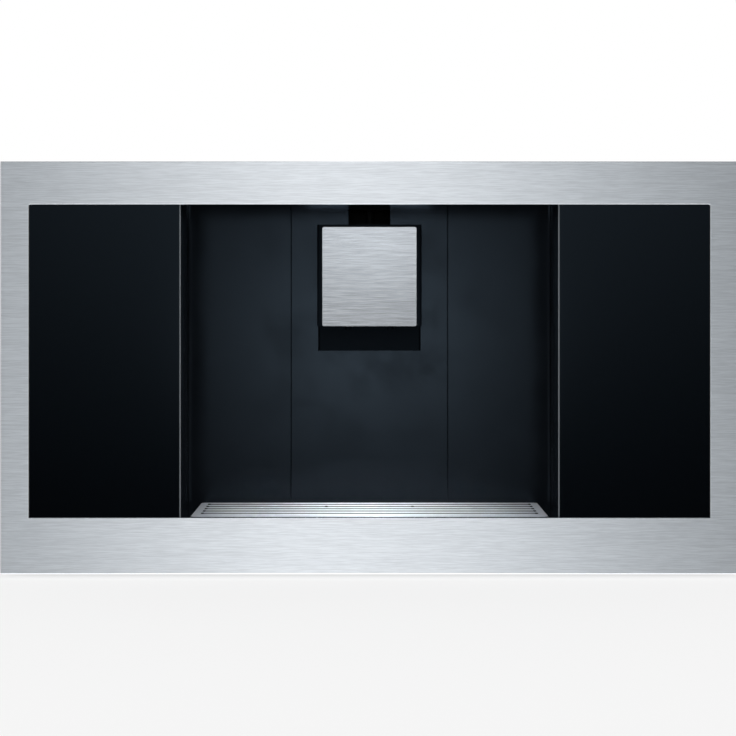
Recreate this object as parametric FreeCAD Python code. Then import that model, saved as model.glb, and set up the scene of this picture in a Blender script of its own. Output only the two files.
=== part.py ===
import FreeCAD
import Part
import math
import os

# Built-in coffee maker: a steel-framed glass door around an open cup niche, with a
# height-adjustable spout, a lift-out drip tray, and the brewing machinery behind.
# Millimetres, +Z up, the front faces -Y.  The origin is the middle of the base,
# on the surface that the feet stand on.

# Shared clearances
OVERRUN = 5.0
FIT_GAP = 0.3
RUNNING_GAP = 0.06
TOLERANCE = 1e-6

# Door frame, sized from its front outline
FRAME_WIDTH = 595.0
FRAME_HEIGHT = 332.5
FRAME_SIDE_BORDER = 23.1
FRAME_TOP_BORDER = 34.7
FRAME_BOTTOM_BORDER = 45.4
FRAME_SHEET = 1.5
FRAME_RETURN = 15.0
FRAME_EDGE_RADIUS = 0.8
WINDOW_EDGE_RADIUS = 0.6
WINDOW_TOP_RADIUS = 1.6
DOOR_DEPTH = 20.5
DOOR_GAP = 3.5
DOOR_FLOOR_GAP = 4.0

# Door glass
GLASS_SPACING = 305.3
GLASS_THICKNESS = 4.0
GLASS_OVERLAP = 5.0
GLASS_CHAMFER = 0.6

# Door carrier and inner panel
CARRIER_PLATE = 2.5
PANEL_SHEET = 2.0
COLLAR_WALL = 1.8
COLLAR_SETBACK = 1.2
COLLAR_DROP = 3.0
SKIRT_INSET = 3.0
BOSS_RADIUS = 4.0
PILOT_RADIUS = 1.3
DOOR_SCREW_RADIUS = 1.25
DOOR_SCREW_HEAD_RADIUS = 3.0
DOOR_SCREW_HEAD = 1.4
DOOR_SCREW_INSET = 14.0
TOUCH_BOARD_MARGIN = 15.75
TOUCH_BOARD_HEIGHT = 120.0
TOUCH_BOARD_SHEET = 1.6
TOUCH_PAD_RADIUS = 7.0
TOUCH_PAD_HEIGHT = 0.8
TOUCH_PAD_COUNT = 3

# Door hinge, pivoting inside the door's thickness
HINGE_EDGE = 9.5
HINGE_DEPTH = 10.5
HINGE_INSET = 16.0
HINGE_PIN_RADIUS = 2.5
HINGE_ARM_RADIUS = 5.5
HINGE_ARM_SHEET = 3.0
HINGE_EAR = 6.0
HINGE_BLOCK_REACH = 15.0
HINGE_BLOCK_TAIL = 6.0
HINGE_SWEEP_GAP = 1.5
BRACKET_SHEET = 2.0
BRACKET_HEIGHT = 27.0

# Casing
BODY_SIDE_INSET = 18.5
ROOF_GAP = 16.0
SHEET = 1.2
FLANGE_WIDTH = 15.0
REAR_FLANGE = 14.0
PAN_FLANGE = 14.0
FOOT_HEIGHT = 6.0
FOOT_RADIUS = 14.0
FOOT_INSET = 40.0
FASCIA_THICKNESS = 3.0
MOUNT_HOLE_RADIUS = 2.5
MOUNT_HOLE_SPACING = 220.0
VENT_WIDTH = 4.0
VENT_LENGTH = 46.0
VENT_PITCH = 12.0
SIDE_VENT_COUNT = 9
REAR_VENT_COUNT = 14
VENT_INSET = 42.0
VENT_ROUND_SHARE = 0.49
SCREW_RADIUS = 1.7
SCREW_HEAD_RADIUS = 3.8
SCREW_HEAD = 2.0
SCREW_SHANK = 5.0
REAR_SCREW_ROWS = 4
REAR_SCREW_INSET = 20.0

# Cup niche
NICHE_WIDTH = 317.2
NICHE_DEPTH = 109.0
NICHE_HEADROOM = 10.2
NICHE_CORNER_RADIUS = 3.0
LINER_WALL = 2.5
WELL_LIFT = 2.5
WELL_GAP = 1.0
CENTRE_PANEL_WIDTH = 137.6
CENTRE_PANEL_THICKNESS = 6.0
CENTRE_PANEL_GAP = 0.8
CENTRE_PANEL_RADIUS = 0.8
CENTRE_PANEL_FLANGE = 8.0
LIGHT_LENGTH = 110.0
LIGHT_WIDTH = 12.0
LIGHT_FLANGE = 4.0
LIGHT_FLANGE_HEIGHT = 3.0

# Drip tray and grate
GRATE_SIDE_GAP = 11.6
GRATE_FRONT_GAP = 1.0
GRATE_THICKNESS = 3.0
GRATE_DROP = 2.0
GRATE_BACK_GAP = 2.0
GRATE_CORNER_RADIUS = 5.0
GRATE_EDGE_RADIUS = 0.8
GROOVE_COUNT = 5
GROOVE_PITCH = 17.0
GROOVE_WIDTH = 7.0
GROOVE_DEPTH = 1.6
GROOVE_END = 6.8
GROOVE_SETBACK = 5.0
DRAIN_LENGTH = 2.2
DRAIN_WIDTH = 9.0
CENTRE_DRAIN_OFFSET = 37.0
TRAY_RIM = 2.4
TRAY_RIM_INSET = 1.0
TRAY_TUB_INSET = 5.0
TRAY_WALL = 2.0
TRAY_CORNER_RADIUS = 6.0
FLOAT_RADIUS = 9.0
FLOAT_HEIGHT = 14.0
FLOAT_CAGE_WALL = 1.6
FLOAT_CAGE_GRIP = 8.0
FLOAT_INSET = 30.0
FLOAT_RISE = 8.0

# Spout
SPOUT_PLATE_WIDTH = 78.8
SPOUT_PLATE_HEIGHT = 83.0
SPOUT_PLATE_SHEET = 1.2
SPOUT_PLATE_RADIUS = 1.5
SPOUT_WIDTH = 87.6
SPOUT_HEIGHT = 106.5
SPOUT_REACH = 73.0
SPOUT_BACK_GAP = 3.0
SPOUT_TOP_DROP = 13.8
SPOUT_HEAD_DEPTH = 30.0
SPOUT_TOP_MARGIN = 2.1
SPOUT_WALL = 2.4
SPOUT_EDGE_RADIUS = 2.0
SPOUT_COVER = 3.0
SPOUT_TRAVEL_DOWN = 65.0
SPOUT_TRAVEL_UP = 8.0
NOZZLE_SPACING = 35.6
NOZZLE_RADIUS = 3.4
NOZZLE_BORE = 2.0
NOZZLE_DEPTH = 17.0
NOZZLE_TIP = 3.0
NOZZLE_BLOCK_WIDTH = 54.0
NOZZLE_BLOCK_DEPTH = 14.0
NOZZLE_BLOCK_HEIGHT = 12.0
FROTHER_RADIUS = 10.0
FROTHER_HEIGHT = 26.0

# Spout carriage and guide
SLOT_WIDTH = 36.8
ARM_WIDTH = 28.0
ARM_HEIGHT = 28.0
ARM_TOP_DROP = 4.0
CARRIAGE_WIDTH = 62.0
CARRIAGE_HEIGHT = 44.0
CARRIAGE_DEPTH = 16.0
CARRIAGE_GAP = 2.0
GUIDE_ROD_RADIUS = 3.0
GUIDE_ROD_SPACING = 44.0
GUIDE_WALL = 2.0
GUIDE_END_GAP = 4.0
FEED_TUBE_RADIUS = 3.0
FEED_TUBE_BORE = 2.0
FEED_TUBE_OVERLAP = 20.0
FEED_TUBE_STUB = 6.0
SLEEVE_RADIUS = 5.5
SLEEVE_TAIL = 13.0

# Side bays
BAY_GAP = 1.5
BAY_SIDE_GAP = 0.6
BAY_WALL = 1.8
BAY_LIFT = 3.0
BAY_HEADROOM = 11.4
BAY_BACK_GAP = 11.2

# Water tank
TANK_GAP = 2.0
TANK_SETBACK = 1.0
TANK_DEPTH = 125.0
TANK_HEIGHT = 222.0
TANK_WALL = 2.5
TANK_CORNER_RADIUS = 10.0
TANK_GRIP_WIDTH = 50.4
TANK_GRIP_HEIGHT = 24.0
TANK_GRIP_DEPTH = 8.0
TANK_GRIP_DROP = 30.0
TANK_LID = 3.0
TANK_LID_LIP = 6.0
DOCK_HEIGHT = 10.0
DOCK_SIDE_GAP = 24.7
DOCK_DEPTH = 60.0
DOCK_TAIL = 7.2
DOCK_ROUND_SHARE = 0.9
VALVE_RADIUS = 8.0
VALVE_FLANGE_RADIUS = 13.0
VALVE_FLANGE = 4.0
VALVE_DROP = 6.0
VALVE_STEM_RADIUS = 3.0
VALVE_STEM_HEIGHT = 8.0

# Brew unit
BREW_SETBACK = 8.0
BREW_GAP = 1.0
BREW_PLATE = 6.0
BREW_BACK_GAP = 2.0
BREW_HEADROOM = 18.0
BREW_RAIL_WIDTH = 8.0
BREW_RAIL_HEIGHT = 4.0
BREW_WINDOW_MARGIN = 12.0
CHAMBER_RADIUS = 30.0
CHAMBER_BORE = 25.0
CAKE_HEIGHT = 32.0
CHAMBER_SETBACK = 47.0
SIEVE_HEIGHT = 6.0
SIEVE_HOLE_RADIUS = 1.4
SIEVE_HOLE_COUNT = 12
SIEVE_RING_RADIUS = 15.0
SIEVE_SEAT = 4.0
PISTON_HEIGHT = 12.0
PISTON_LIFT = 4.0
PISTON_ROD_RADIUS = 8.0
PISTON_ROD_LENGTH = 18.0
PISTON_TRAVEL = 30.0
CROSSHEAD_HEIGHT = 12.0
CROSSHEAD_WIDTH = 30.0
SPINDLE_RADIUS = 6.0
SPINDLE_SETBACK = 114.0
SPINDLE_TAIL = 6.0
SPINDLE_COLLAR_RADIUS = 10.0
SPINDLE_COLLAR = 4.0
BREW_MOTOR_RADIUS = 17.0
MOTOR_SHAFT_RADIUS = 3.0
MOTOR_SHAFT = 4.0
LEVER_LENGTH = 46.0
LEVER_WIDTH = 12.0
LEVER_THICKNESS = 4.0
LEVER_PIN_RADIUS = 3.0
LEVER_PIN_LENGTH = 5.0
LEVER_DROP = 28.0
LEVER_HUB_RADIUS = 9.0

# Grounds container
GROUNDS_GAP = 1.5
GROUNDS_SETBACK = 1.0
GROUNDS_BACK_GAP = 4.0
GROUNDS_HEIGHT = 82.0
GROUNDS_WALL = 2.0
GROUNDS_CORNER_RADIUS = 6.0
GRIP_WIDTH = 50.0
GRIP_HEIGHT = 14.0

# Bean drawer and grinder
BEAN_SHELF = 1.5
BEAN_SHELF_TAIL = 8.0
BEAN_DRAWER_HEIGHT = 44.0
BEAN_WALL = 2.0
BEAN_FRONT = 4.0
CHUTE_TOP_RADIUS = 22.0
CHUTE_BOTTOM_RADIUS = 13.0
CHUTE_WALL = 1.6
GRINDER_SETBACK = 45.0
GRINDER_MOTOR_RADIUS = 27.0
GRINDER_MOTOR_HEIGHT = 96.0
GRINDER_FLANGE_RADIUS = 34.0
GRINDER_FLANGE = 6.0
GRINDER_RADIUS = 37.0
GRINDER_HEIGHT = 62.0
GRINDER_WALL = 3.0
GRINDER_FLOOR = 5.0
SHAFT_RADIUS = 4.0
SHAFT_TAIL = 14.0
BURR_RADIUS = 26.0
BURR_HEIGHT = 9.0
BURR_LIFT = 8.0
BURR_GAP = 0.8
BURR_GROOVES = 16
BURR_GROOVE_WIDTH = 2.2
BURR_GROOVE_DEPTH = 1.6
BURR_HUB_RADIUS = 9.0
UPPER_BURR_BORE = 13.0
OUTLET_WIDTH = 22.0
OUTLET_HEIGHT = 16.0

# Pump, heater and hoses
PUMP_LENGTH = 108.0
PUMP_COIL_LENGTH = 46.0
PUMP_COIL_SIZE = 44.0
PUMP_BARREL_RADIUS = 13.0
PUMP_SPIGOT_RADIUS = 3.5
PUMP_SPIGOT = 10.0
PUMP_AXIS_HEIGHT = 36.0
PUMP_SETBACK = 50.0
PUMP_OFFSET = 66.5
PUMP_CRADLE_INSET = 14.0
PUMP_CRADLE_SHEET = 5.0
PUMP_CRADLE_WIDTH = 40.0
GROMMET_WALL = 3.0
HEATER_LENGTH = 112.0
HEATER_DEPTH = 44.0
HEATER_HEIGHT = 84.0
HEATER_LIFT = 18.0
HEATER_SETBACK = 116.0
HEATER_OFFSET = 19.0
HEATER_FIN_COUNT = 7
HEATER_FIN_WIDTH = 5.0
HEATER_FIN_DEPTH = 6.0
HEATER_LEG = 10.0
HEATER_PORT_INSET = 16.0
HOSE_RADIUS = 3.5
HOSE_BORE = 2.0
HOSE_BEND = 9.0
HOSE_RISE = 16.0
BREW_PORT_HEIGHT = 189.8
BREW_PORT_INSET = 10.0

# Electronics and mains
BOARD_LENGTH = 150.0
BOARD_HEIGHT = 110.0
BOARD_SHEET = 1.6
BOARD_STANDOFF = 12.0
BOARD_STANDOFF_RADIUS = 4.0
BOARD_STANDOFF_INSET = 8.0
BOARD_BACK_GAP = 30.0
BOARD_FRONT_GAP = 14.6
BOARD_BASE_HEIGHT = 110.0
CAPACITOR_RADIUS = 9.0
CAPACITOR_HEIGHT = 24.0
TRANSFORMER_SIZE = 34.0
TRANSFORMER_HEIGHT = 28.0
HEATSINK_LENGTH = 50.0
HEATSINK_THICKNESS = 6.0
HEATSINK_HEIGHT = 26.0
INLET_WIDTH = 30.0
INLET_HEIGHT = 22.0
INLET_DEPTH = 26.0
INLET_FLANGE_WIDTH = 48.0
INLET_FLANGE = 2.0
INLET_WALL = 2.0
INLET_PIN_WIDTH = 2.0
INLET_PIN_HEIGHT = 5.0
INLET_PIN_LENGTH = 15.0
INLET_PIN_PITCH = 7.0
INLET_OFFSET = 89.0
INLET_BASE_HEIGHT = 48.0
SWITCH_WIDTH = 19.0
SWITCH_HEIGHT = 12.0
SWITCH_DEPTH = 9.0
SWITCH_POCKET_GAP = 2.0
SWITCH_POCKET_WALL = 1.6
SWITCH_POCKET_DEPTH = 18.0
SWITCH_PIN_RADIUS = 1.5
SWITCH_PIN = 1.2
SWITCH_PROUD = 1.6
SWITCH_RISE = 28.0

# Door stops and catches
BUMPER_RADIUS = 4.5
BUMPER_OFFSET = 120.0
MAGNET_RADIUS = 6.0
MAGNET_INSET = 17.0
TOP_STRIP_DROP = 7.5

# Sizes that follow from what they hold
GRATE_WIDTH = NICHE_WIDTH - GRATE_SIDE_GAP * 2
GRATE_DEPTH = NICHE_DEPTH - GRATE_FRONT_GAP - GRATE_BACK_GAP
CHAMBER_HEIGHT = SIEVE_HEIGHT + CAKE_HEIGHT + PISTON_TRAVEL - PISTON_LIFT
PRESS_HEIGHT = CHAMBER_HEIGHT + PISTON_LIFT + PISTON_HEIGHT + PISTON_ROD_LENGTH + CROSSHEAD_HEIGHT
BREW_HEIGHT = PRESS_HEIGHT + BREW_HEADROOM + BREW_PLATE * 2
BREW_DEPTH = SPINDLE_SETBACK + SPINDLE_COLLAR_RADIUS + BREW_BACK_GAP + BREW_PLATE
GROUNDS_DEPTH = BREW_SETBACK + SPINDLE_SETBACK - BREW_MOTOR_RADIUS - GROUNDS_BACK_GAP - GROUNDS_SETBACK
TANK_STACK = DOCK_HEIGHT + TANK_HEIGHT + TANK_LID
BREW_STACK = GROUNDS_HEIGHT + BREW_RAIL_HEIGHT * 2 + BREW_HEIGHT
BAY_HEIGHT = max(TANK_STACK, BREW_STACK) + BAY_HEADROOM + BAY_WALL * 2
BAY_LOAD_DEPTH = max(TANK_SETBACK + TANK_DEPTH, BREW_SETBACK + BREW_DEPTH)
BAY_DEPTH = BAY_LOAD_DEPTH - FASCIA_THICKNESS + BAY_BACK_GAP + BAY_WALL
BOARD_BAY_DEPTH = BOARD_FRONT_GAP + BOARD_LENGTH + BOARD_BACK_GAP
BODY_DEPTH = FASCIA_THICKNESS + BAY_DEPTH + BOARD_BAY_DEPTH + SHEET * 2
BODY_WIDTH = FRAME_WIDTH - BODY_SIDE_INSET * 2

# Planes that the pieces share, front to back
overall_depth = DOOR_DEPTH + DOOR_GAP + BODY_DEPTH + SCREW_HEAD
front_y = -overall_depth / 2
sheet_back_y = front_y + FRAME_SHEET
glass_back_y = sheet_back_y + GLASS_THICKNESS
carrier_back_y = glass_back_y + CARRIER_PLATE
door_back_y = front_y + DOOR_DEPTH
panel_front_y = door_back_y - PANEL_SHEET
body_front_y = door_back_y + DOOR_GAP
fascia_back_y = body_front_y + FASCIA_THICKNESS
body_back_y = body_front_y + BODY_DEPTH
cover_front_y = body_back_y - SHEET
flange_front_y = cover_front_y - SHEET
niche_back_y = body_front_y + NICHE_DEPTH
bay_back_y = fascia_back_y + BAY_DEPTH

# Heights that the pieces share
body_z0 = FOOT_HEIGHT
pan_top_z = body_z0 + SHEET
door_z0 = DOOR_FLOOR_GAP
door_z1 = door_z0 + FRAME_HEIGHT
window_z0 = door_z0 + FRAME_BOTTOM_BORDER
window_z1 = door_z1 - FRAME_TOP_BORDER
grate_z1 = window_z0 - GRATE_DROP
grate_z0 = grate_z1 - GRATE_THICKNESS
ledge_z = grate_z0 - TRAY_RIM
niche_z1 = window_z1 + NICHE_HEADROOM
well_z = pan_top_z + WELL_LIFT + LINER_WALL
bay_z0 = pan_top_z + BAY_LIFT
bay_z1 = bay_z0 + BAY_HEIGHT
shelf_z = bay_z1
drawer_z0 = shelf_z + BEAN_SHELF
body_z1 = max(niche_z1, drawer_z0 + BEAN_DRAWER_HEIGHT) + ROOF_GAP
BODY_HEIGHT = body_z1 - body_z0

# Widths that the pieces share
half_frame = FRAME_WIDTH / 2
half_window = half_frame - FRAME_SIDE_BORDER
half_body = BODY_WIDTH / 2
half_case = half_body - SHEET
half_niche = NICHE_WIDTH / 2
bay_x0 = half_niche + LINER_WALL + BAY_GAP
bay_x1 = half_case - SHEET - BAY_SIDE_GAP
bay_x = (bay_x0 + bay_x1) / 2
half_opening = GLASS_SPACING / 2 + COLLAR_SETBACK
bay_inside = bay_x1 - bay_x0 - BAY_WALL * 2
TOUCH_BOARD_WIDTH = half_window - GLASS_SPACING / 2 - TOUCH_BOARD_MARGIN * 2
DOCK_WIDTH = bay_inside - DOCK_SIDE_GAP * 2
TANK_GRIP_MARGIN = (bay_inside - TANK_GAP * 2 - TANK_GRIP_WIDTH) / 2

# Hinge axis
hinge_x = -half_frame + HINGE_EDGE
hinge_y = front_y + HINGE_DEPTH
hinge_arm_zs = (door_z0 + HINGE_INSET, door_z1 - HINGE_INSET)

# Grate, tray and well plan
grate_y1 = niche_back_y - GRATE_BACK_GAP
grate_y0 = grate_y1 - GRATE_DEPTH
grate_y = (grate_y0 + grate_y1) / 2
rim_half = GRATE_WIDTH / 2 - TRAY_RIM_INSET
rim_y0 = grate_y0 + TRAY_RIM_INSET
rim_y1 = grate_y1 - TRAY_RIM_INSET
tub_half = rim_half - TRAY_TUB_INSET
tub_y0 = rim_y0 + TRAY_TUB_INSET
tub_y1 = rim_y1 - TRAY_TUB_INSET
tub_z0 = well_z + FIT_GAP

# Spout places
spout_z1 = window_z1 - SPOUT_TOP_DROP
spout_z0 = spout_z1 - SPOUT_HEIGHT
plate_z1 = spout_z1 - SPOUT_TOP_MARGIN
plate_z0 = plate_z1 - SPOUT_PLATE_HEIGHT
spout_y0 = niche_back_y - SPOUT_REACH
head_y0 = spout_y0 + SPOUT_PLATE_SHEET
head_y1 = head_y0 + SPOUT_HEAD_DEPTH
spout_y1 = niche_back_y - SPOUT_BACK_GAP
nozzle_y = head_y0 + NOZZLE_DEPTH
arm_z1 = spout_z1 - ARM_TOP_DROP
arm_z0 = arm_z1 - ARM_HEIGHT
panel_back_y = niche_back_y + CENTRE_PANEL_THICKNESS
carriage_y0 = panel_back_y + CARRIAGE_GAP
carriage_y1 = carriage_y0 + CARRIAGE_DEPTH
guide_y = (carriage_y0 + carriage_y1) / 2
carriage_z1 = (arm_z0 + arm_z1 + CARRIAGE_HEIGHT) / 2
carriage_z0 = carriage_z1 - CARRIAGE_HEIGHT
feed_end_z = carriage_z1 - SPOUT_TRAVEL_DOWN - FEED_TUBE_OVERLAP
sleeve_z0 = feed_end_z - SPOUT_TRAVEL_UP - SLEEVE_TAIL
slot_z0 = arm_z0 - SPOUT_TRAVEL_DOWN - GUIDE_END_GAP
guide_z0 = sleeve_z0 - SPOUT_TRAVEL_DOWN - GUIDE_END_GAP
guide_z1 = carriage_z1 + SPOUT_TRAVEL_UP + GUIDE_END_GAP
guide_half = CARRIAGE_WIDTH / 2 + CARRIAGE_GAP
guide_back_y = carriage_y1 + CARRIAGE_GAP

# Brew unit places
brew_y0 = body_front_y + BREW_SETBACK
brew_y1 = brew_y0 + BREW_DEPTH
grounds_z0 = bay_z0 + BAY_WALL
grounds_z1 = grounds_z0 + GROUNDS_HEIGHT
brew_rail_z = grounds_z1 + BREW_RAIL_HEIGHT
brew_z0 = brew_rail_z + BREW_RAIL_HEIGHT
brew_z1 = brew_z0 + BREW_HEIGHT
chamber_y = brew_y0 + CHAMBER_SETBACK
spindle_y = brew_y0 + SPINDLE_SETBACK
chamber_z0 = brew_z0 + BREW_PLATE
chamber_z1 = chamber_z0 + CHAMBER_HEIGHT
piston_z0 = chamber_z1 + PISTON_LIFT
crosshead_z0 = piston_z0 + PISTON_HEIGHT + PISTON_ROD_LENGTH
brew_half = (bay_x1 - bay_x0) / 2 - BAY_WALL - BREW_GAP
lever_z = brew_z1 - LEVER_DROP

# Grinder places
grinder_x = -min(bay_x, bay_x1 - GRINDER_RADIUS)
grinder_y = bay_back_y + GRINDER_SETBACK
grinder_z0 = pan_top_z + GRINDER_MOTOR_HEIGHT
grinder_z1 = grinder_z0 + GRINDER_HEIGHT
burr_z0 = grinder_z0 + GRINDER_FLOOR + BURR_LIFT
burr_z1 = burr_z0 + BURR_HEIGHT

# Pump, heater and hose places
pump_y = bay_back_y + PUMP_SETBACK
pump_z = pan_top_z + PUMP_AXIS_HEIGHT
pump_x1 = bay_x - PUMP_OFFSET
pump_x0 = pump_x1 - PUMP_LENGTH
heater_y = bay_back_y + HEATER_SETBACK
brew_port_x = -bay_x0 - BREW_PORT_INSET
heater_x0 = brew_port_x + HEATER_OFFSET + PUMP_SPIGOT
heater_x1 = heater_x0 + HEATER_LENGTH
heater_z0 = pan_top_z + HEATER_LIFT
heater_z1 = heater_z0 + HEATER_HEIGHT
dock_z0 = bay_z0 + BAY_WALL
dock_z1 = dock_z0 + DOCK_HEIGHT
tank_y0 = body_front_y + TANK_SETBACK
tank_y1 = tank_y0 + TANK_DEPTH
dock_y1 = tank_y1 + DOCK_TAIL
dock_y = dock_y1 - DOCK_DEPTH / 2
spigot_z = dock_z0 + DOCK_HEIGHT / 2

# Mains places
switch_z = bay_z1 + SWITCH_RISE
inlet_x = half_body - INLET_OFFSET
inlet_z = body_z0 + INLET_BASE_HEIGHT
top_strip_z = body_z1 - TOP_STRIP_DROP

X_AXIS = FreeCAD.Vector(1, 0, 0)
Y_AXIS = FreeCAD.Vector(0, 1, 0)
Z_AXIS = FreeCAD.Vector(0, 0, 1)
PARTS = "parts"


def point(x, y, z):
    return FreeCAD.Vector(x, y, z)


def block(x0, x1, y0, y1, z0, z1):
    """A box between two corners."""
    return Part.makeBox(x1 - x0, y1 - y0, z1 - z0, point(x0, y0, z0))


def cylinder(radius, start, axis, length):
    return Part.makeCylinder(radius, length, start, axis)


def ring(outer, inner, start, axis, length):
    """A plain tube."""
    return cylinder(outer, start, axis, length).cut(cylinder(inner, start, axis, length))


def join(first, *others):
    return first.fuse(list(others)).removeSplitter()


def carve(shape, *tools):
    return shape.cut(list(tools)).removeSplitter()


def straight_edges(shape, axis):
    """The straight edges of a shape that run along an axis."""
    found = []
    for edge in shape.Edges:
        straight = isinstance(edge.Curve, Part.Line)
        if straight and edge.tangentAt(edge.FirstParameter).cross(axis).Length < TOLERANCE:
            found.append(edge)
    return found


def rounded(shape, radius, axis):
    """Rounds every straight edge of a shape that runs along an axis."""
    return shape.makeFillet(radius, straight_edges(shape, axis))


def edges_on_plane(shape, normal, offset):
    """The edges of a shape that lie in the plane where position along normal equals offset."""
    found = []
    for edge in shape.Edges:
        if all(abs(vertex.Point.dot(normal) - offset) < TOLERANCE for vertex in edge.Vertexes):
            if abs(edge.CenterOfMass.dot(normal) - offset) < TOLERANCE:
                found.append(edge)
    return found


def mirrored(shape):
    """The same shape on the other side of the middle plane."""
    return shape.mirror(point(0, 0, 0), X_AXIS)


def group(shapes):
    return Part.makeCompound(list(shapes))


def spread(count, pitch):
    """Evenly spaced offsets, centred on zero."""
    return [(index - (count - 1) / 2) * pitch for index in range(count)]


def vents(count, make_slot):
    """A row of ventilation slots, one for each centred offset."""
    return [make_slot(offset) for offset in spread(count, VENT_PITCH)]


def screw(start, axis, head_radius, head, shank_radius, shank):
    """A pan-head screw: its head stands off along the axis and its shank goes the other way."""
    head_shape = cylinder(head_radius, start, axis, head)
    slot_depth = head / 2
    cross = slot_depth / 2
    tool = cylinder(head_radius / 3, start + axis * (head - slot_depth), axis, slot_depth + cross)
    return carve(join(head_shape, cylinder(shank_radius, start - axis * shank, axis, shank)), tool)


def bent_path(points, radius):
    """A wire of straight runs joined by tangent arcs of one radius."""
    edges = []
    last = points[0]
    for before, corner, after in zip(points, points[1:], points[2:]):
        inward = (before - corner).normalize()
        outward = (after - corner).normalize()
        half_angle = inward.getAngle(outward) / 2
        setback = radius / math.tan(half_angle)
        first = corner + inward * setback
        second = corner + outward * setback
        centre_way = (inward + outward).normalize()
        middle = corner + centre_way * (radius / math.sin(half_angle) - radius)
        edges.append(Part.LineSegment(last, first).toShape())
        edges.append(Part.Arc(first, middle, second).toShape())
        last = second
    edges.append(Part.LineSegment(last, points[-1]).toShape())
    return Part.Wire(edges)


def swept_rod(path, start, direction, radius):
    profile = Part.Wire([Part.makeCircle(radius, start, direction)])
    return path.makePipeShell([profile], True, False)


def hose(points):
    """A hose with a bore, along straight runs and bends."""
    path = bent_path(points, HOSE_BEND)
    direction = points[1] - points[0]
    outer = swept_rod(path, points[0], direction, HOSE_RADIUS)
    return outer.cut(swept_rod(path, points[0], direction, HOSE_BORE))


def door_frame():
    """Folded sheet-steel front with a rounded window edge and notches for the hinge arms."""
    shell = block(-half_frame, half_frame, front_y, front_y + FRAME_RETURN, door_z0, door_z1)
    shell = shell.makeFillet(FRAME_EDGE_RADIUS, edges_on_plane(shell, Y_AXIS, front_y))
    inside = block(
        -half_frame + FRAME_SHEET,
        half_frame - FRAME_SHEET,
        sheet_back_y,
        door_back_y,
        door_z0 + FRAME_SHEET,
        door_z1 - FRAME_SHEET,
    )
    window = block(-half_window, half_window, front_y - OVERRUN, door_back_y, window_z0, window_z1)
    upper = [edge for edge in straight_edges(window, Y_AXIS) if edge.CenterOfMass.z > window_z0]
    window = window.makeFillet(WINDOW_TOP_RADIUS, upper)
    frame = shell.cut(inside).cut(window)
    rim = [
        edge
        for edge in edges_on_plane(frame, Y_AXIS, front_y)
        if abs(edge.CenterOfMass.x) <= half_window and window_z0 <= edge.CenterOfMass.z <= window_z1
    ]
    frame = frame.makeFillet(WINDOW_EDGE_RADIUS, rim)
    notch_half = HINGE_ARM_SHEET / 2 + HINGE_SWEEP_GAP
    notches = [
        block(
            -half_frame - OVERRUN,
            -half_frame + FRAME_SHEET,
            sheet_back_y + HINGE_SWEEP_GAP,
            door_back_y,
            arm_z - notch_half,
            arm_z + notch_half,
        )
        for arm_z in hinge_arm_zs
    ]
    return carve(frame, *notches)


def glass_panel():
    """Right-hand dark glass with a ground edge beside the niche."""
    inner_x = GLASS_SPACING / 2
    glass = block(
        inner_x,
        half_window + GLASS_OVERLAP,
        sheet_back_y,
        glass_back_y,
        window_z0 - GLASS_OVERLAP,
        window_z1 + GLASS_OVERLAP,
    )
    front_edges = edges_on_plane(glass, Y_AXIS, sheet_back_y)
    inner = [edge for edge in front_edges if abs(edge.CenterOfMass.x - inner_x) < FIT_GAP]
    return glass.makeChamfer(GLASS_CHAMFER, inner)


def hinge_pockets():
    """The two left corners of the door that the hinge blocks fill."""
    reach = hinge_x + HINGE_BLOCK_REACH + FIT_GAP
    height = HINGE_ARM_SHEET / 2 + HINGE_SWEEP_GAP + HINGE_EAR + FIT_GAP
    return [
        block(-half_frame, reach, front_y, door_back_y, arm_z - height, arm_z + height)
        for arm_z in hinge_arm_zs
    ]


def door_boss_places():
    """Screw places that join the inner panel to the carrier."""
    inner = half_opening + DOOR_SCREW_INSET
    outer = half_window - DOOR_SCREW_INSET
    low = window_z0 - GLASS_OVERLAP - DOOR_SCREW_INSET
    high = window_z1 + GLASS_OVERLAP + DOOR_SCREW_INSET
    return [(side * x, z) for side in (-1, 1) for x in (inner, outer) for z in (low, high)]


def door_carrier():
    """Moulded plate behind the steel that holds the two glass panels in pockets."""
    skin = FRAME_SHEET + FIT_GAP
    side = half_frame - skin
    plate = block(-side, side, sheet_back_y, carrier_back_y, door_z0 + skin, door_z1 - skin)
    pocket_x1 = half_window + GLASS_OVERLAP + FIT_GAP
    pockets = block(
        -pocket_x1,
        pocket_x1,
        sheet_back_y - OVERRUN,
        glass_back_y,
        window_z0 - GLASS_OVERLAP - FIT_GAP,
        window_z1 + GLASS_OVERLAP + FIT_GAP,
    )
    opening = block(
        -half_opening,
        half_opening,
        front_y,
        door_back_y,
        window_z0 - COLLAR_DROP - GLASS_OVERLAP,
        window_z1 + COLLAR_DROP + GLASS_OVERLAP,
    )
    boss_length = panel_front_y - carrier_back_y
    bosses = [
        cylinder(BOSS_RADIUS, point(x, carrier_back_y, z), Y_AXIS, boss_length) for x, z in door_boss_places()
    ]
    pilots = [
        cylinder(PILOT_RADIUS, point(x, carrier_back_y, z), Y_AXIS, boss_length) for x, z in door_boss_places()
    ]
    return carve(join(plate, *bosses), pockets, opening, *hinge_pockets(), *pilots)


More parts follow.
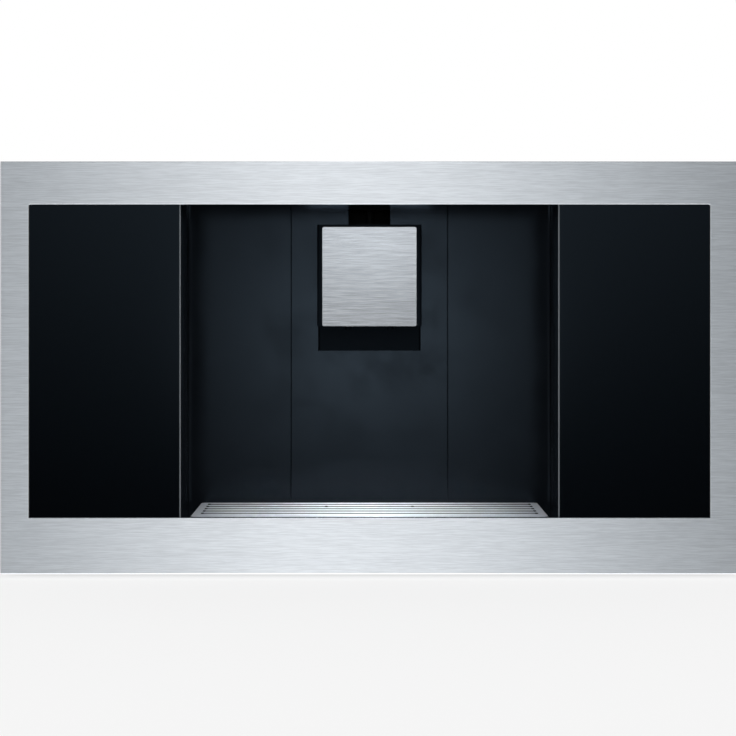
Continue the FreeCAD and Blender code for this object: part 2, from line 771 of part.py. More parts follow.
def door_inner_panel():
    """Rear cover of the door with a collar round the niche opening and an outer skirt."""
    left = hinge_x + HINGE_ARM_RADIUS + HINGE_SWEEP_GAP
    right = half_frame - FRAME_SHEET - SKIRT_INSET
    low = door_z0 + FRAME_SHEET + SKIRT_INSET
    high = door_z1 - FRAME_SHEET - SKIRT_INSET
    shell = block(left, right, carrier_back_y, door_back_y, low, high)
    shell = rounded(shell, COLLAR_WALL, Y_AXIS)
    collar_low = window_z0 - COLLAR_DROP
    collar_high = window_z1 + COLLAR_DROP
    collar = block(
        -half_opening - COLLAR_WALL,
        half_opening + COLLAR_WALL,
        carrier_back_y,
        door_back_y,
        collar_low - COLLAR_WALL,
        collar_high + COLLAR_WALL,
    )
    inside = block(
        left + COLLAR_WALL,
        right - COLLAR_WALL,
        carrier_back_y - OVERRUN,
        panel_front_y,
        low + COLLAR_WALL,
        high - COLLAR_WALL,
    ).cut(collar)
    opening = block(-half_opening, half_opening, front_y, body_front_y, collar_low, collar_high)
    holes = [
        cylinder(PILOT_RADIUS, point(x, front_y, z), Y_AXIS, body_front_y - front_y)
        for x, z in door_boss_places()
    ]
    corners = [corner.cut(opening) for corner in hinge_pockets()]
    return carve(shell, inside, opening, *holes, *corners)


def door_screws():
    head, shank = DOOR_SCREW_HEAD, panel_front_y - carrier_back_y
    return group(
        screw(point(x, door_back_y, z), Y_AXIS, DOOR_SCREW_HEAD_RADIUS, head, DOOR_SCREW_RADIUS, shank)
        for x, z in door_boss_places()
    )


def touch_board():
    """Circuit board with touch pads, behind the right-hand glass."""
    x = (GLASS_SPACING / 2 + half_window) / 2
    z = (window_z0 + window_z1) / 2
    y1 = carrier_back_y + TOUCH_BOARD_SHEET
    board = block(
        x - TOUCH_BOARD_WIDTH / 2,
        x + TOUCH_BOARD_WIDTH / 2,
        carrier_back_y,
        y1,
        z - TOUCH_BOARD_HEIGHT / 2,
        z + TOUCH_BOARD_HEIGHT / 2,
    )
    pitch = TOUCH_BOARD_HEIGHT / TOUCH_PAD_COUNT
    pads = [
        cylinder(TOUCH_PAD_RADIUS, point(x, y1, z + offset), Y_AXIS, TOUCH_PAD_HEIGHT)
        for offset in spread(TOUCH_PAD_COUNT, pitch)
    ]
    return join(board, *pads)


def hinge_blocks():
    """Door-side hinge blocks: two ears with a web, open where the arm sweeps."""
    solids = []
    for arm_z in hinge_arm_zs:
        half = HINGE_ARM_SHEET / 2 + FIT_GAP
        body = block(
            hinge_x - HINGE_ARM_RADIUS,
            hinge_x + HINGE_BLOCK_REACH,
            sheet_back_y,
            hinge_y + HINGE_BLOCK_TAIL,
            arm_z - half - HINGE_EAR,
            arm_z + half + HINGE_EAR,
        )
        sweep = block(
            hinge_x - HINGE_BLOCK_REACH,
            hinge_x + HINGE_ARM_RADIUS + FIT_GAP,
            front_y,
            door_back_y,
            arm_z - half,
            arm_z + half,
        )
        bore = cylinder(
            HINGE_PIN_RADIUS + RUNNING_GAP,
            point(hinge_x, hinge_y, arm_z - half - HINGE_EAR),
            Z_AXIS,
            (half + HINGE_EAR) * 2,
        )
        solids.append(carve(body, sweep, bore))
    return group(solids)


def hinge_brackets():
    """Body-side hinge arms with their pins, on the left mounting flange."""
    solids = []
    for arm_z, way in zip(hinge_arm_zs, (1, -1)):
        half = HINGE_ARM_SHEET / 2
        boss = cylinder(HINGE_ARM_RADIUS, point(hinge_x, hinge_y, arm_z - half), Z_AXIS, HINGE_ARM_SHEET)
        arm = block(
            hinge_x - HINGE_ARM_RADIUS,
            hinge_x + HINGE_ARM_RADIUS,
            hinge_y,
            fascia_back_y,
            arm_z - half,
            arm_z + half,
        )
        foot_z0 = arm_z - half
        foot_z1 = arm_z + half
        if way > 0:
            foot_z1 = foot_z0 + BRACKET_HEIGHT
        else:
            foot_z0 = foot_z1 - BRACKET_HEIGHT
        foot = block(
            -half_body - FLANGE_WIDTH,
            -half_body - FIT_GAP,
            fascia_back_y - BRACKET_SHEET,
            fascia_back_y,
            foot_z0,
            foot_z1,
        )
        pin_half = half + FIT_GAP + HINGE_EAR
        pin = cylinder(HINGE_PIN_RADIUS, point(hinge_x, hinge_y, arm_z - pin_half), Z_AXIS, pin_half * 2)
        solids.append(join(boss, arm, foot, pin))
    return group(solids)


def fascia():
    """Black front of the body, open to the niche, both bays and the bean drawer."""
    plate = block(-half_body, half_body, body_front_y, fascia_back_y, body_z0, body_z1)
    plate = rounded(plate, FASCIA_THICKNESS, Y_AXIS)
    niche = block(-half_niche, half_niche, front_y, bay_back_y, ledge_z, niche_z1)
    bay = block(
        bay_x0 + BAY_WALL, bay_x1 - BAY_WALL, front_y, bay_back_y, bay_z0 + BAY_WALL, bay_z1 - BAY_WALL
    )
    drawer = block(
        -bay_x1 + BAY_WALL,
        -bay_x0 - BAY_WALL,
        front_y,
        bay_back_y,
        drawer_z0,
        drawer_z0 + BEAN_DRAWER_HEIGHT + FIT_GAP,
    )
    half_w = SWITCH_WIDTH / 2 + FIT_GAP
    half_h = SWITCH_HEIGHT / 2 + SWITCH_POCKET_GAP
    pocket_back = fascia_back_y + SWITCH_POCKET_DEPTH
    wall = SWITCH_POCKET_WALL
    box = block(
        bay_x - half_w - wall,
        bay_x + half_w + wall,
        body_front_y,
        pocket_back,
        switch_z - half_h - wall,
        switch_z + half_h + wall,
    )
    hollow = block(
        bay_x - half_w, bay_x + half_w, front_y, pocket_back - wall, switch_z - half_h, switch_z + half_h
    )
    pin_y = switch_pivot_y()
    bore = cylinder(
        SWITCH_PIN_RADIUS + RUNNING_GAP,
        point(bay_x - half_w - wall, pin_y, switch_z),
        X_AXIS,
        (half_w + wall) * 2,
    )
    return carve(join(plate, box), niche, bay, mirrored(bay), drawer, hollow, bore)


def switch_pivot_y():
    return body_front_y - SWITCH_PROUD + SWITCH_DEPTH / 2


def mains_switch():
    """Rocker on two short pins."""
    y0 = body_front_y - SWITCH_PROUD
    rocker = block(
        bay_x - SWITCH_WIDTH / 2,
        bay_x + SWITCH_WIDTH / 2,
        y0,
        y0 + SWITCH_DEPTH,
        switch_z - SWITCH_HEIGHT / 2,
        switch_z + SWITCH_HEIGHT / 2,
    )
    rocker = rounded(rocker, SWITCH_PROUD, X_AXIS)
    pin_length = SWITCH_WIDTH + SWITCH_PIN * 2
    start = point(bay_x - pin_length / 2, switch_pivot_y(), switch_z)
    return join(rocker, cylinder(SWITCH_PIN_RADIUS, start, X_AXIS, pin_length))


def door_bumpers():
    """Rubber buttons on the fascia that the door closes on."""
    low_z = (body_z0 + ledge_z) / 2
    places = [(side * BUMPER_OFFSET, z) for side in (-1, 1) for z in (low_z, top_strip_z)]
    length = DOOR_GAP - FIT_GAP
    return group(
        cylinder(BUMPER_RADIUS, point(x, body_front_y - length, z), Y_AXIS, length) for x, z in places
    )


def door_magnets():
    """Catch magnets on the fascia, towards the door's free edge."""
    length = DOOR_GAP - FIT_GAP
    return group(
        cylinder(MAGNET_RADIUS, point(x, body_front_y - length, switch_z), Y_AXIS, length)
        for x in (bay_x0 + MAGNET_INSET, half_body - MAGNET_INSET)
    )


def base_pan():
    """Sheet-steel floor with folded-up side edges."""
    back_y = flange_front_y
    pan = block(-half_case, half_case, fascia_back_y, back_y, body_z0, body_z0 + PAN_FLANGE)
    inside = block(
        -half_case + SHEET, half_case - SHEET, fascia_back_y - OVERRUN, back_y - SHEET, pan_top_z, body_z1
    )
    return carve(pan, inside)


def top_panel():
    """Sheet-steel roof with folded-down side edges and a row of vents."""
    back_y = flange_front_y
    lid = block(-half_case, half_case, fascia_back_y, back_y, body_z1 - PAN_FLANGE, body_z1)
    half = half_case - SHEET
    inside = block(-half, half, fascia_back_y - OVERRUN, back_y + OVERRUN, body_z0, body_z1 - SHEET)
    vent_y = back_y - VENT_INSET

    def slot(offset):
        hole = block(
            offset - VENT_WIDTH / 2,
            offset + VENT_WIDTH / 2,
            vent_y - VENT_LENGTH / 2,
            vent_y + VENT_LENGTH / 2,
            body_z1 - SHEET,
            body_z1,
        )
        return rounded(hole, VENT_WIDTH * VENT_ROUND_SHARE, Z_AXIS)

    return carve(lid, inside, *vents(REAR_VENT_COUNT, slot))


def mount_hole_zs():
    middle = (body_z0 + body_z1) / 2
    return [middle + offset for offset in spread(2, MOUNT_HOLE_SPACING)]


def rear_screw_places():
    """Screws that hold the rear cover to the side panels."""
    pitch = (BODY_HEIGHT - REAR_SCREW_INSET * 2) / (REAR_SCREW_ROWS - 1)
    middle = (body_z0 + body_z1) / 2
    x = half_case - REAR_FLANGE / 2
    return [(side * x, middle + offset) for side in (-1, 1) for offset in spread(REAR_SCREW_ROWS, pitch)]


def side_panel():
    """Right-hand side with a mounting flange in front, a screw flange behind and vents."""
    skin = block(half_case, half_body, fascia_back_y, cover_front_y, body_z0, body_z1)
    flange_x = half_body + FLANGE_WIDTH
    front = block(half_case, flange_x, fascia_back_y, fascia_back_y + SHEET, body_z0 + FOOT_HEIGHT, body_z1)
    rear = block(half_case - REAR_FLANGE, half_body, flange_front_y, cover_front_y, body_z0, body_z1)
    hole_x = half_body + FLANGE_WIDTH / 2
    mounts = [
        cylinder(MOUNT_HOLE_RADIUS, point(hole_x, front_y, z), Y_AXIS, BODY_DEPTH) for z in mount_hole_zs()
    ]
    screws = [
        cylinder(SCREW_RADIUS + RUNNING_GAP, point(x, flange_front_y, z), Y_AXIS, SHEET)
        for x, z in rear_screw_places()
        if x > 0
    ]
    vent_z = (body_z0 + body_z1) / 2
    vent_y = flange_front_y - VENT_INSET - SIDE_VENT_COUNT * VENT_PITCH / 2

    def slot(offset):
        hole = block(
            half_case,
            half_body,
            vent_y + offset - VENT_WIDTH / 2,
            vent_y + offset + VENT_WIDTH / 2,
            vent_z - VENT_LENGTH / 2,
            vent_z + VENT_LENGTH / 2,
        )
        return rounded(hole, VENT_WIDTH * VENT_ROUND_SHARE, X_AXIS)

    return carve(join(skin, front, rear), *mounts, *screws, *vents(SIDE_VENT_COUNT, slot))


def rear_cover():
    """Sheet-steel back with vents, screw holes and the mains inlet cut-out."""
    plate = block(-half_body, half_body, cover_front_y, body_back_y, body_z0, body_z1)
    vent_z = body_z1 - VENT_INSET

    def slot(offset):
        hole = block(
            offset - VENT_WIDTH / 2,
            offset + VENT_WIDTH / 2,
            cover_front_y,
            body_back_y,
            vent_z - VENT_LENGTH / 2,
            vent_z + VENT_LENGTH / 2,
        )
        return rounded(hole, VENT_WIDTH * VENT_ROUND_SHARE, Y_AXIS)

    screws = [
        cylinder(SCREW_RADIUS + RUNNING_GAP, point(x, cover_front_y, z), Y_AXIS, SHEET)
        for x, z in rear_screw_places()
    ]
    inlet = block(
        inlet_x - INLET_WIDTH / 2 - FIT_GAP,
        inlet_x + INLET_WIDTH / 2 + FIT_GAP,
        cover_front_y,
        body_back_y,
        inlet_z - INLET_HEIGHT / 2 - FIT_GAP,
        inlet_z + INLET_HEIGHT / 2 + FIT_GAP,
    )
    return carve(plate, inlet, *screws, *vents(REAR_VENT_COUNT, slot))


def feet():
    """Four rubber pads under the base."""
    x = half_body - FOOT_INSET
    ys = (body_front_y + FOOT_INSET, body_back_y - FOOT_INSET)
    return group(
        cylinder(FOOT_RADIUS, point(side * x, y, 0), Z_AXIS, FOOT_HEIGHT) for side in (-1, 1) for y in ys
    )


def case_screws():
    return group(
        screw(point(x, body_back_y, z), Y_AXIS, SCREW_HEAD_RADIUS, SCREW_HEAD, SCREW_RADIUS, SCREW_SHANK)
        for x, z in rear_screw_places()
    )


def niche_plan(grow, y0):
    """The niche's floor plan, square in front and rounded at the two back corners."""
    half = half_niche + grow
    back = niche_back_y + grow
    radius = NICHE_CORNER_RADIUS + grow
    turn = radius * (1 - math.sqrt(0.5))
    left, right = -half, half
    edges = [
        Part.LineSegment(point(left, y0, 0), point(left, back - radius, 0)).toShape(),
        Part.Arc(
            point(left, back - radius, 0), point(left + turn, back - turn, 0), point(left + radius, back, 0)
        ).toShape(),
        Part.LineSegment(point(left + radius, back, 0), point(right - radius, back, 0)).toShape(),
        Part.Arc(
            point(right - radius, back, 0), point(right - turn, back - turn, 0), point(right, back - radius, 0)
        ).toShape(),
        Part.LineSegment(point(right, back - radius, 0), point(right, y0, 0)).toShape(),
        Part.LineSegment(point(right, y0, 0), point(left, y0, 0)).toShape(),
    ]
    return Part.Face(Part.Wire(edges))


def niche_column(grow, y0, z0, z1):
    face = niche_plan(grow, y0)
    face.translate(point(0, 0, z0))
    return face.extrude(point(0, 0, z1 - z0))


def niche_liner():
    """Moulded lining of the niche: walls, roof, and the well that the tray drops into."""
    upper = niche_column(LINER_WALL, fascia_back_y, ledge_z - LINER_WALL, niche_z1 + LINER_WALL)
    well_half = tub_half + WELL_GAP
    well_y0 = max(tub_y0 - WELL_GAP, fascia_back_y + LINER_WALL)
    well_y1 = tub_y1 + WELL_GAP
    well = block(
        -well_half - LINER_WALL,
        well_half + LINER_WALL,
        well_y0 - LINER_WALL,
        well_y1 + LINER_WALL,
        well_z - LINER_WALL,
        ledge_z,
    )
    hollow = niche_column(0, front_y, ledge_z, niche_z1)
    pit = rounded(
        block(-well_half, well_half, well_y0, well_y1, well_z, ledge_z + OVERRUN), TRAY_CORNER_RADIUS, Z_AXIS
    )
    half_panel = CENTRE_PANEL_WIDTH / 2 + CENTRE_PANEL_GAP
    back = block(-half_panel, half_panel, grate_y1, bay_back_y, ledge_z, niche_z1)
    light_y = (fascia_back_y + niche_back_y) / 2
    light = block(
        -LIGHT_LENGTH / 2 - FIT_GAP,
        LIGHT_LENGTH / 2 + FIT_GAP,
        light_y - LIGHT_WIDTH / 2 - FIT_GAP,
        light_y + LIGHT_WIDTH / 2 + FIT_GAP,
        niche_z1,
        niche_z1 + LINER_WALL,
    )
    return carve(join(upper, well), hollow, pit, back, light)


def niche_light():
    """Lens bar in the niche's roof."""
    y = (fascia_back_y + niche_back_y) / 2
    z = niche_z1 + LINER_WALL
    lens = block(
        -LIGHT_LENGTH / 2, LIGHT_LENGTH / 2, y - LIGHT_WIDTH / 2, y + LIGHT_WIDTH / 2, niche_z1, z
    )
    half = LIGHT_LENGTH / 2 + LIGHT_FLANGE
    half_y = LIGHT_WIDTH / 2 + LIGHT_FLANGE
    return join(lens, block(-half, half, y - half_y, y + half_y, z, z + LIGHT_FLANGE_HEIGHT))


def niche_centre_panel():
    """Back panel with rounded edges and the slot that the spout's arm runs in."""
    half = CENTRE_PANEL_WIDTH / 2
    z0 = ledge_z + FIT_GAP
    z1 = niche_z1 - FIT_GAP
    face = block(-half, half, niche_back_y, panel_back_y, z0, z1)
    front_edges = [e for e in straight_edges(face, Z_AXIS) if abs(e.CenterOfMass.y - niche_back_y) < FIT_GAP]
    face = face.makeFillet(CENTRE_PANEL_RADIUS, front_edges)
    wide = half + CENTRE_PANEL_FLANGE
    flange = block(-wide, wide, niche_back_y + LINER_WALL, panel_back_y, z0, niche_z1 + LINER_WALL)
    slot_half = SLOT_WIDTH / 2
    slot_y0, slot_y1 = niche_back_y - OVERRUN, panel_back_y + OVERRUN
    slot = block(-slot_half, slot_half, slot_y0, slot_y1, slot_z0, niche_z1 + OVERRUN)
    return carve(join(face, flange), slot)


def spout_housing():
    """Black spout casing, open at the back, with a stepped underside."""
    half = SPOUT_WIDTH / 2
    head = block(-half, half, head_y0, spout_y1, plate_z0, spout_z1)
    rear = block(-half, half, head_y1, spout_y1, spout_z0, plate_z0)
    casing = rounded(join(head, rear), SPOUT_EDGE_RADIUS, Z_AXIS)
    wall = SPOUT_WALL
    hollow_head = block(
        -half + wall, half - wall, head_y0 + wall, spout_y1 + OVERRUN, plate_z0 + wall, spout_z1 - wall
    )
    hollow_rear = block(
        -half + wall, half - wall, head_y1 + wall, spout_y1 + OVERRUN, spout_z0 + wall, plate_z0 + wall * 2
    )
    holes = [
        cylinder(NOZZLE_RADIUS + FIT_GAP, point(x, nozzle_y, plate_z0 - OVERRUN), Z_AXIS, OVERRUN * 2)
        for x in spread(2, NOZZLE_SPACING)
    ]
    return carve(casing, hollow_head, hollow_rear, *holes)


def spout_plate():
    """Brushed steel face of the spout."""
    half = SPOUT_PLATE_WIDTH / 2
    plate = block(-half, half, spout_y0, head_y0, plate_z0, plate_z1)
    return rounded(plate, SPOUT_PLATE_RADIUS, Y_AXIS)


def coffee_nozzles():
    """Flow divider on the spout's floor with its two nozzles."""
    floor_z = plate_z0 + SPOUT_WALL
    divider = block(
        -NOZZLE_BLOCK_WIDTH / 2,
        NOZZLE_BLOCK_WIDTH / 2,
        nozzle_y - NOZZLE_BLOCK_DEPTH / 2,
        nozzle_y + NOZZLE_BLOCK_DEPTH / 2,
        floor_z,
        floor_z + NOZZLE_BLOCK_HEIGHT,
    )
    tip_z = plate_z0 - NOZZLE_TIP
    tubes = [
        cylinder(NOZZLE_RADIUS, point(x, nozzle_y, tip_z), Z_AXIS, floor_z - tip_z)
        for x in spread(2, NOZZLE_SPACING)
    ]
    bores = [
        cylinder(NOZZLE_BORE, point(x, nozzle_y, tip_z), Z_AXIS, floor_z - tip_z + NOZZLE_BLOCK_HEIGHT / 2)
        for x in spread(2, NOZZLE_SPACING)
    ]
    return carve(join(divider, *tubes), *bores)


def milk_frother():
    """Frothing chamber on top of the flow divider."""
    z0 = plate_z0 + SPOUT_WALL + NOZZLE_BLOCK_HEIGHT
    bulb = cylinder(FROTHER_RADIUS, point(0, nozzle_y, z0), Z_AXIS, FROTHER_HEIGHT)
    return bulb.makeFillet(FROTHER_RADIUS / 3, edges_on_plane(bulb, Z_AXIS, z0 + FROTHER_HEIGHT))


def spout_carriage():
    """Cover, arm and slider that carry the spout on its guide rods."""
    half = SPOUT_WIDTH / 2 - SPOUT_WALL - FIT_GAP
    cover = block(
        -half,
        half,
        spout_y1 - SPOUT_COVER,
        spout_y1,
        spout_z0 + SPOUT_WALL + FIT_GAP,
        spout_z1 - SPOUT_WALL - FIT_GAP,
    )
    arm = block(-ARM_WIDTH / 2, ARM_WIDTH / 2, spout_y1, carriage_y0, arm_z0, arm_z1)
    slider = block(-CARRIAGE_WIDTH / 2, CARRIAGE_WIDTH / 2, carriage_y0, carriage_y1, carriage_z0, carriage_z1)
    sleeve = cylinder(SLEEVE_RADIUS, point(0, guide_y, sleeve_z0), Z_AXIS, carriage_z0 - sleeve_z0)
    feed_base = point(0, guide_y, sleeve_z0 + SLEEVE_RADIUS / 2)
    feed = cylinder(FEED_TUBE_RADIUS + RUNNING_GAP, feed_base, Z_AXIS, carriage_z1 - sleeve_z0)
    rods = [
        cylinder(GUIDE_ROD_RADIUS + RUNNING_GAP, point(x, guide_y, carriage_z0), Z_AXIS, CARRIAGE_HEIGHT)
        for x in spread(2, GUIDE_ROD_SPACING)
    ]
    return carve(join(cover, arm, slider, sleeve), feed, *rods)


def guide_housing():
    """Channel that holds the guide rods, with a flange that closes the slot above it."""
    wall = GUIDE_WALL
    half = guide_half + wall
    shell = block(-half, half, panel_back_y, guide_back_y + wall, guide_z0 - wall, guide_z1 + wall)
    flange = block(-half, half, panel_back_y, panel_back_y + wall, guide_z1, niche_z1 + LINER_WALL)
    hollow = block(-guide_half, guide_half, panel_back_y - OVERRUN, guide_back_y, guide_z0, guide_z1)
    feed = cylinder(FEED_TUBE_RADIUS + RUNNING_GAP, point(0, guide_y, guide_z1), Z_AXIS, wall)
    return carve(join(shell, flange), hollow, feed)


def guide_rods():
    return group(
        cylinder(GUIDE_ROD_RADIUS, point(x, guide_y, guide_z0), Z_AXIS, guide_z1 - guide_z0)
        for x in spread(2, GUIDE_ROD_SPACING)
    )


def feed_tube():
    """Fixed coffee tube that the carriage's sleeve slides along."""
    top = guide_z1 + GUIDE_WALL + FEED_TUBE_STUB
    return ring(FEED_TUBE_RADIUS, FEED_TUBE_BORE, point(0, guide_y, feed_end_z), Z_AXIS, top - feed_end_z)


def float_place():
    return -tub_half + FLOAT_INSET, grate_y


def drip_tray():
    """Tub with a flat rim, and a ring that guides the float."""
    rim = rounded(block(-rim_half, rim_half, rim_y0, rim_y1, ledge_z, grate_z0), GRATE_CORNER_RADIUS, Z_AXIS)
    tub = rounded(block(-tub_half, tub_half, tub_y0, tub_y1, tub_z0, ledge_z), TRAY_CORNER_RADIUS, Z_AXIS)
    wall = TRAY_WALL
    inside = rounded(
        block(
            -tub_half + wall, tub_half - wall, tub_y0 + wall, tub_y1 - wall, tub_z0 + wall, grate_z0 + OVERRUN
        ),
        TRAY_CORNER_RADIUS - wall,
        Z_AXIS,
    )
    x, y = float_place()
    cage_bore = FLOAT_RADIUS + FIT_GAP
    cage_height = FLOAT_RISE + FLOAT_CAGE_GRIP
    cage = ring(cage_bore + FLOAT_CAGE_WALL, cage_bore, point(x, y, tub_z0 + wall), Z_AXIS, cage_height)
    return join(carve(join(rim, tub), inside), cage)


def grate_drain(x, y):
    """Cut for a narrow drain slot across a groove."""
    half_x, half_y = DRAIN_LENGTH / 2, DRAIN_WIDTH / 2
    return block(x - half_x, x + half_x, y - half_y, y + half_y, grate_z0, grate_z1)


def drip_grate():
    """Grooved steel plate with drain slots at the ends of its grooves."""
    plate = block(-GRATE_WIDTH / 2, GRATE_WIDTH / 2, grate_y0, grate_y1, grate_z0, grate_z1)
    plate = rounded(plate, GRATE_CORNER_RADIUS, Z_AXIS)
    plate = plate.makeFillet(GRATE_EDGE_RADIUS, edges_on_plane(plate, Z_AXIS, grate_z1))
    groove_half = GRATE_WIDTH / 2 - GROOVE_END
    offsets = spread(GROOVE_COUNT, GROOVE_PITCH)
    tools = []
    for offset in offsets:
        y = grate_y + GROOVE_SETBACK + offset
        flat = GROOVE_WIDTH / 2 - GROOVE_DEPTH
        section = Part.makePolygon(
            [
                point(-groove_half, y - GROOVE_WIDTH / 2, grate_z1),
                point(-groove_half, y - flat, grate_z1 - GROOVE_DEPTH),
                point(-groove_half, y + flat, grate_z1 - GROOVE_DEPTH),
                point(-groove_half, y + GROOVE_WIDTH / 2, grate_z1),
                point(-groove_half, y - GROOVE_WIDTH / 2, grate_z1),
            ]
        )
        tools.append(Part.Face(section).extrude(point(groove_half * 2, 0, 0)))
        for side in (-1, 1):
            tools.append(grate_drain(side * (groove_half - DRAIN_LENGTH / 2), y))
    second_y = grate_y + GROOVE_SETBACK + offsets[-2]
    for side in (-1, 1):
        tools.append(grate_drain(side * CENTRE_DRAIN_OFFSET, second_y))
    return carve(plate, *tools)


def tray_float():
    """Level float that rises in its ring as the tray fills."""
    x, y = float_place()
    return cylinder(FLOAT_RADIUS, point(x, y, tub_z0 + TRAY_WALL), Z_AXIS, FLOAT_HEIGHT)


def bay_shell():
    """Right-hand bay: a box open in front."""
    wall = BAY_WALL
    shell = block(bay_x0, bay_x1, fascia_back_y, bay_back_y, bay_z0, bay_z1)
    inside = block(
        bay_x0 + wall, bay_x1 - wall, front_y, bay_back_y - wall, bay_z0 + wall, bay_z1 - wall
    )
    return carve(shell, inside)


def tank_bay():
    """Bay lining for the water tank, with a hole behind for the dock's spigot."""
    hole = cylinder(HOSE_RADIUS + FIT_GAP, point(bay_x, bay_back_y - BAY_WALL, spigot_z), Y_AXIS, BAY_WALL)
    return carve(bay_shell(), hole)


def tank_dock():
    """Seat for the tank's valve, with a spigot through the back of the bay."""
    seat = block(
        bay_x - DOCK_WIDTH / 2, bay_x + DOCK_WIDTH / 2, dock_y - DOCK_DEPTH / 2, dock_y1, dock_z0, dock_z1
    )
    seat = rounded(seat, min(DOCK_HEIGHT, DOCK_WIDTH * DOCK_ROUND_SHARE) / 2, Z_AXIS)
    spigot_end = bay_back_y + PUMP_SPIGOT
    spigot = cylinder(HOSE_RADIUS, point(bay_x, dock_y1, spigot_z), Y_AXIS, spigot_end - dock_y1)
    socket = cylinder(VALVE_RADIUS + FIT_GAP, point(bay_x, dock_y, dock_z1 - VALVE_DROP), Z_AXIS, VALVE_DROP)
    bore = cylinder(HOSE_BORE, point(bay_x, dock_y, spigot_z), Y_AXIS, spigot_end - dock_y)
    return carve(join(seat, spigot), socket, bore)


def water_tank():
    """Clear tub with rounded corners and a finger grip in its front wall."""
    wall = TANK_WALL
    x0, x1 = bay_x0 + BAY_WALL + TANK_GAP, bay_x1 - BAY_WALL - TANK_GAP
    y0, y1 = tank_y0, tank_y1
    z0, z1 = dock_z1, dock_z1 + TANK_HEIGHT
    tub = rounded(block(x0, x1, y0, y1, z0, z1), TANK_CORNER_RADIUS, Z_AXIS)
    inside = rounded(
        block(x0 + wall, x1 - wall, y0 + wall, y1 - wall, z0 + wall, z1), TANK_CORNER_RADIUS - wall, Z_AXIS
    )
    grip_z1 = z1 - TANK_GRIP_DROP
    grip_x0, grip_x1 = x0 + TANK_GRIP_MARGIN, x1 - TANK_GRIP_MARGIN
    bulge = block(
        grip_x0 - wall,
        grip_x1 + wall,
        y0,
        y0 + TANK_GRIP_DEPTH + wall,
        grip_z1 - TANK_GRIP_HEIGHT - wall,
        grip_z1 + wall,
    )
    grip = block(
        grip_x0, grip_x1, y0 - OVERRUN, y0 + TANK_GRIP_DEPTH, grip_z1 - TANK_GRIP_HEIGHT, grip_z1
    )
    hole = cylinder(VALVE_RADIUS + FIT_GAP, point(bay_x, dock_y, z0), Z_AXIS, wall)
    return carve(tub, inside.cut(bulge), grip, hole)


def tank_valve():
    """Spring valve through the tank's floor, seated in the dock."""
    z0 = dock_z1 - VALVE_DROP + FIT_GAP
    floor_z = dock_z1 + TANK_WALL
    body = cylinder(VALVE_RADIUS, point(bay_x, dock_y, z0), Z_AXIS, floor_z - z0)
    flange = cylinder(VALVE_FLANGE_RADIUS, point(bay_x, dock_y, floor_z), Z_AXIS, VALVE_FLANGE)
    stem = cylinder(VALVE_STEM_RADIUS, point(bay_x, dock_y, floor_z + VALVE_FLANGE), Z_AXIS, VALVE_STEM_HEIGHT)
    return join(body, flange, stem)


def tank_lid():
    """Lid that plugs into the tank's mouth."""
    x0, x1 = bay_x0 + BAY_WALL + TANK_GAP, bay_x1 - BAY_WALL - TANK_GAP
    y0, y1 = tank_y0, tank_y1
    z = dock_z1 + TANK_HEIGHT
    lid = rounded(block(x0, x1, y0, y1, z, z + TANK_LID), TANK_CORNER_RADIUS, Z_AXIS)
    inset = TANK_WALL + FIT_GAP
    lip = rounded(
        block(x0 + inset, x1 - inset, y0 + inset, y1 - inset, z - TANK_LID_LIP, z),
        TANK_CORNER_RADIUS - inset,
        Z_AXIS,
    )
    inset_in = inset + TANK_WALL
    hollow = rounded(
        block(x0 + inset_in, x1 - inset_in, y0 + inset_in, y1 - inset_in, z - TANK_LID_LIP, z),
        TANK_CORNER_RADIUS - inset_in,
        Z_AXIS,
    )
    return join(lid, lip.cut(hollow))


def brew_bay():
    """Left-hand bay lining with rails for the brew unit and ports behind."""
    shell = mirrored(bay_shell())
    wall = BAY_WALL
    rails = []
    for inner in (-bay_x1 + wall, -bay_x0 - wall - BREW_RAIL_WIDTH):
        rails.append(
            block(inner, inner + BREW_RAIL_WIDTH, brew_y0, brew_y1, brew_rail_z, brew_rail_z + BREW_RAIL_HEIGHT)
        )
    ports = [
        ring(HOSE_RADIUS, HOSE_BORE, place, Y_AXIS, PUMP_SPIGOT) for place in (water_port(), coffee_port())
    ]
    return join(shell, *rails, *ports)


def water_port():
    return point(brew_port_x, bay_back_y, bay_z0 + BREW_PORT_HEIGHT)


def coffee_port():
    return water_port() + Z_AXIS * (HOSE_RADIUS * 2 + HOSE_RISE)


def brew_frame():
    """Cassette of the brew unit: floor, roof, back and a front bar with the lever's boss."""
    x0, x1 = -bay_x - brew_half, -bay_x + brew_half
    outer = block(x0, x1, brew_y0, brew_y1, brew_z0, brew_z1)
    inside = block(
        x0 - OVERRUN,
        x1 + OVERRUN,
        brew_y0 + BREW_PLATE,
        brew_y1 - BREW_PLATE,
        brew_z0 + BREW_PLATE,
        brew_z1 - BREW_PLATE,
    )
    window_z = lever_z - LEVER_HUB_RADIUS - BREW_PLATE
    window = block(
        x0 + BREW_WINDOW_MARGIN,
        x1 - BREW_WINDOW_MARGIN,
        front_y,
        brew_y0 + BREW_PLATE,
        brew_z0 + BREW_WINDOW_MARGIN,
        window_z,
    )
    bores = [
        cylinder(SPINDLE_RADIUS + RUNNING_GAP, point(-bay_x, spindle_y, z), Z_AXIS, BREW_PLATE)
        for z in (brew_z0, brew_z1 - BREW_PLATE)
    ]
    drop = cylinder(CHAMBER_BORE - SIEVE_SEAT, point(-bay_x, chamber_y, brew_z0), Z_AXIS, BREW_PLATE)
    lever = cylinder(
        LEVER_PIN_RADIUS + RUNNING_GAP, point(-bay_x, brew_y0, lever_z), Y_AXIS, LEVER_PIN_LENGTH
    )
    return carve(outer, inside, window, drop, lever, *bores)


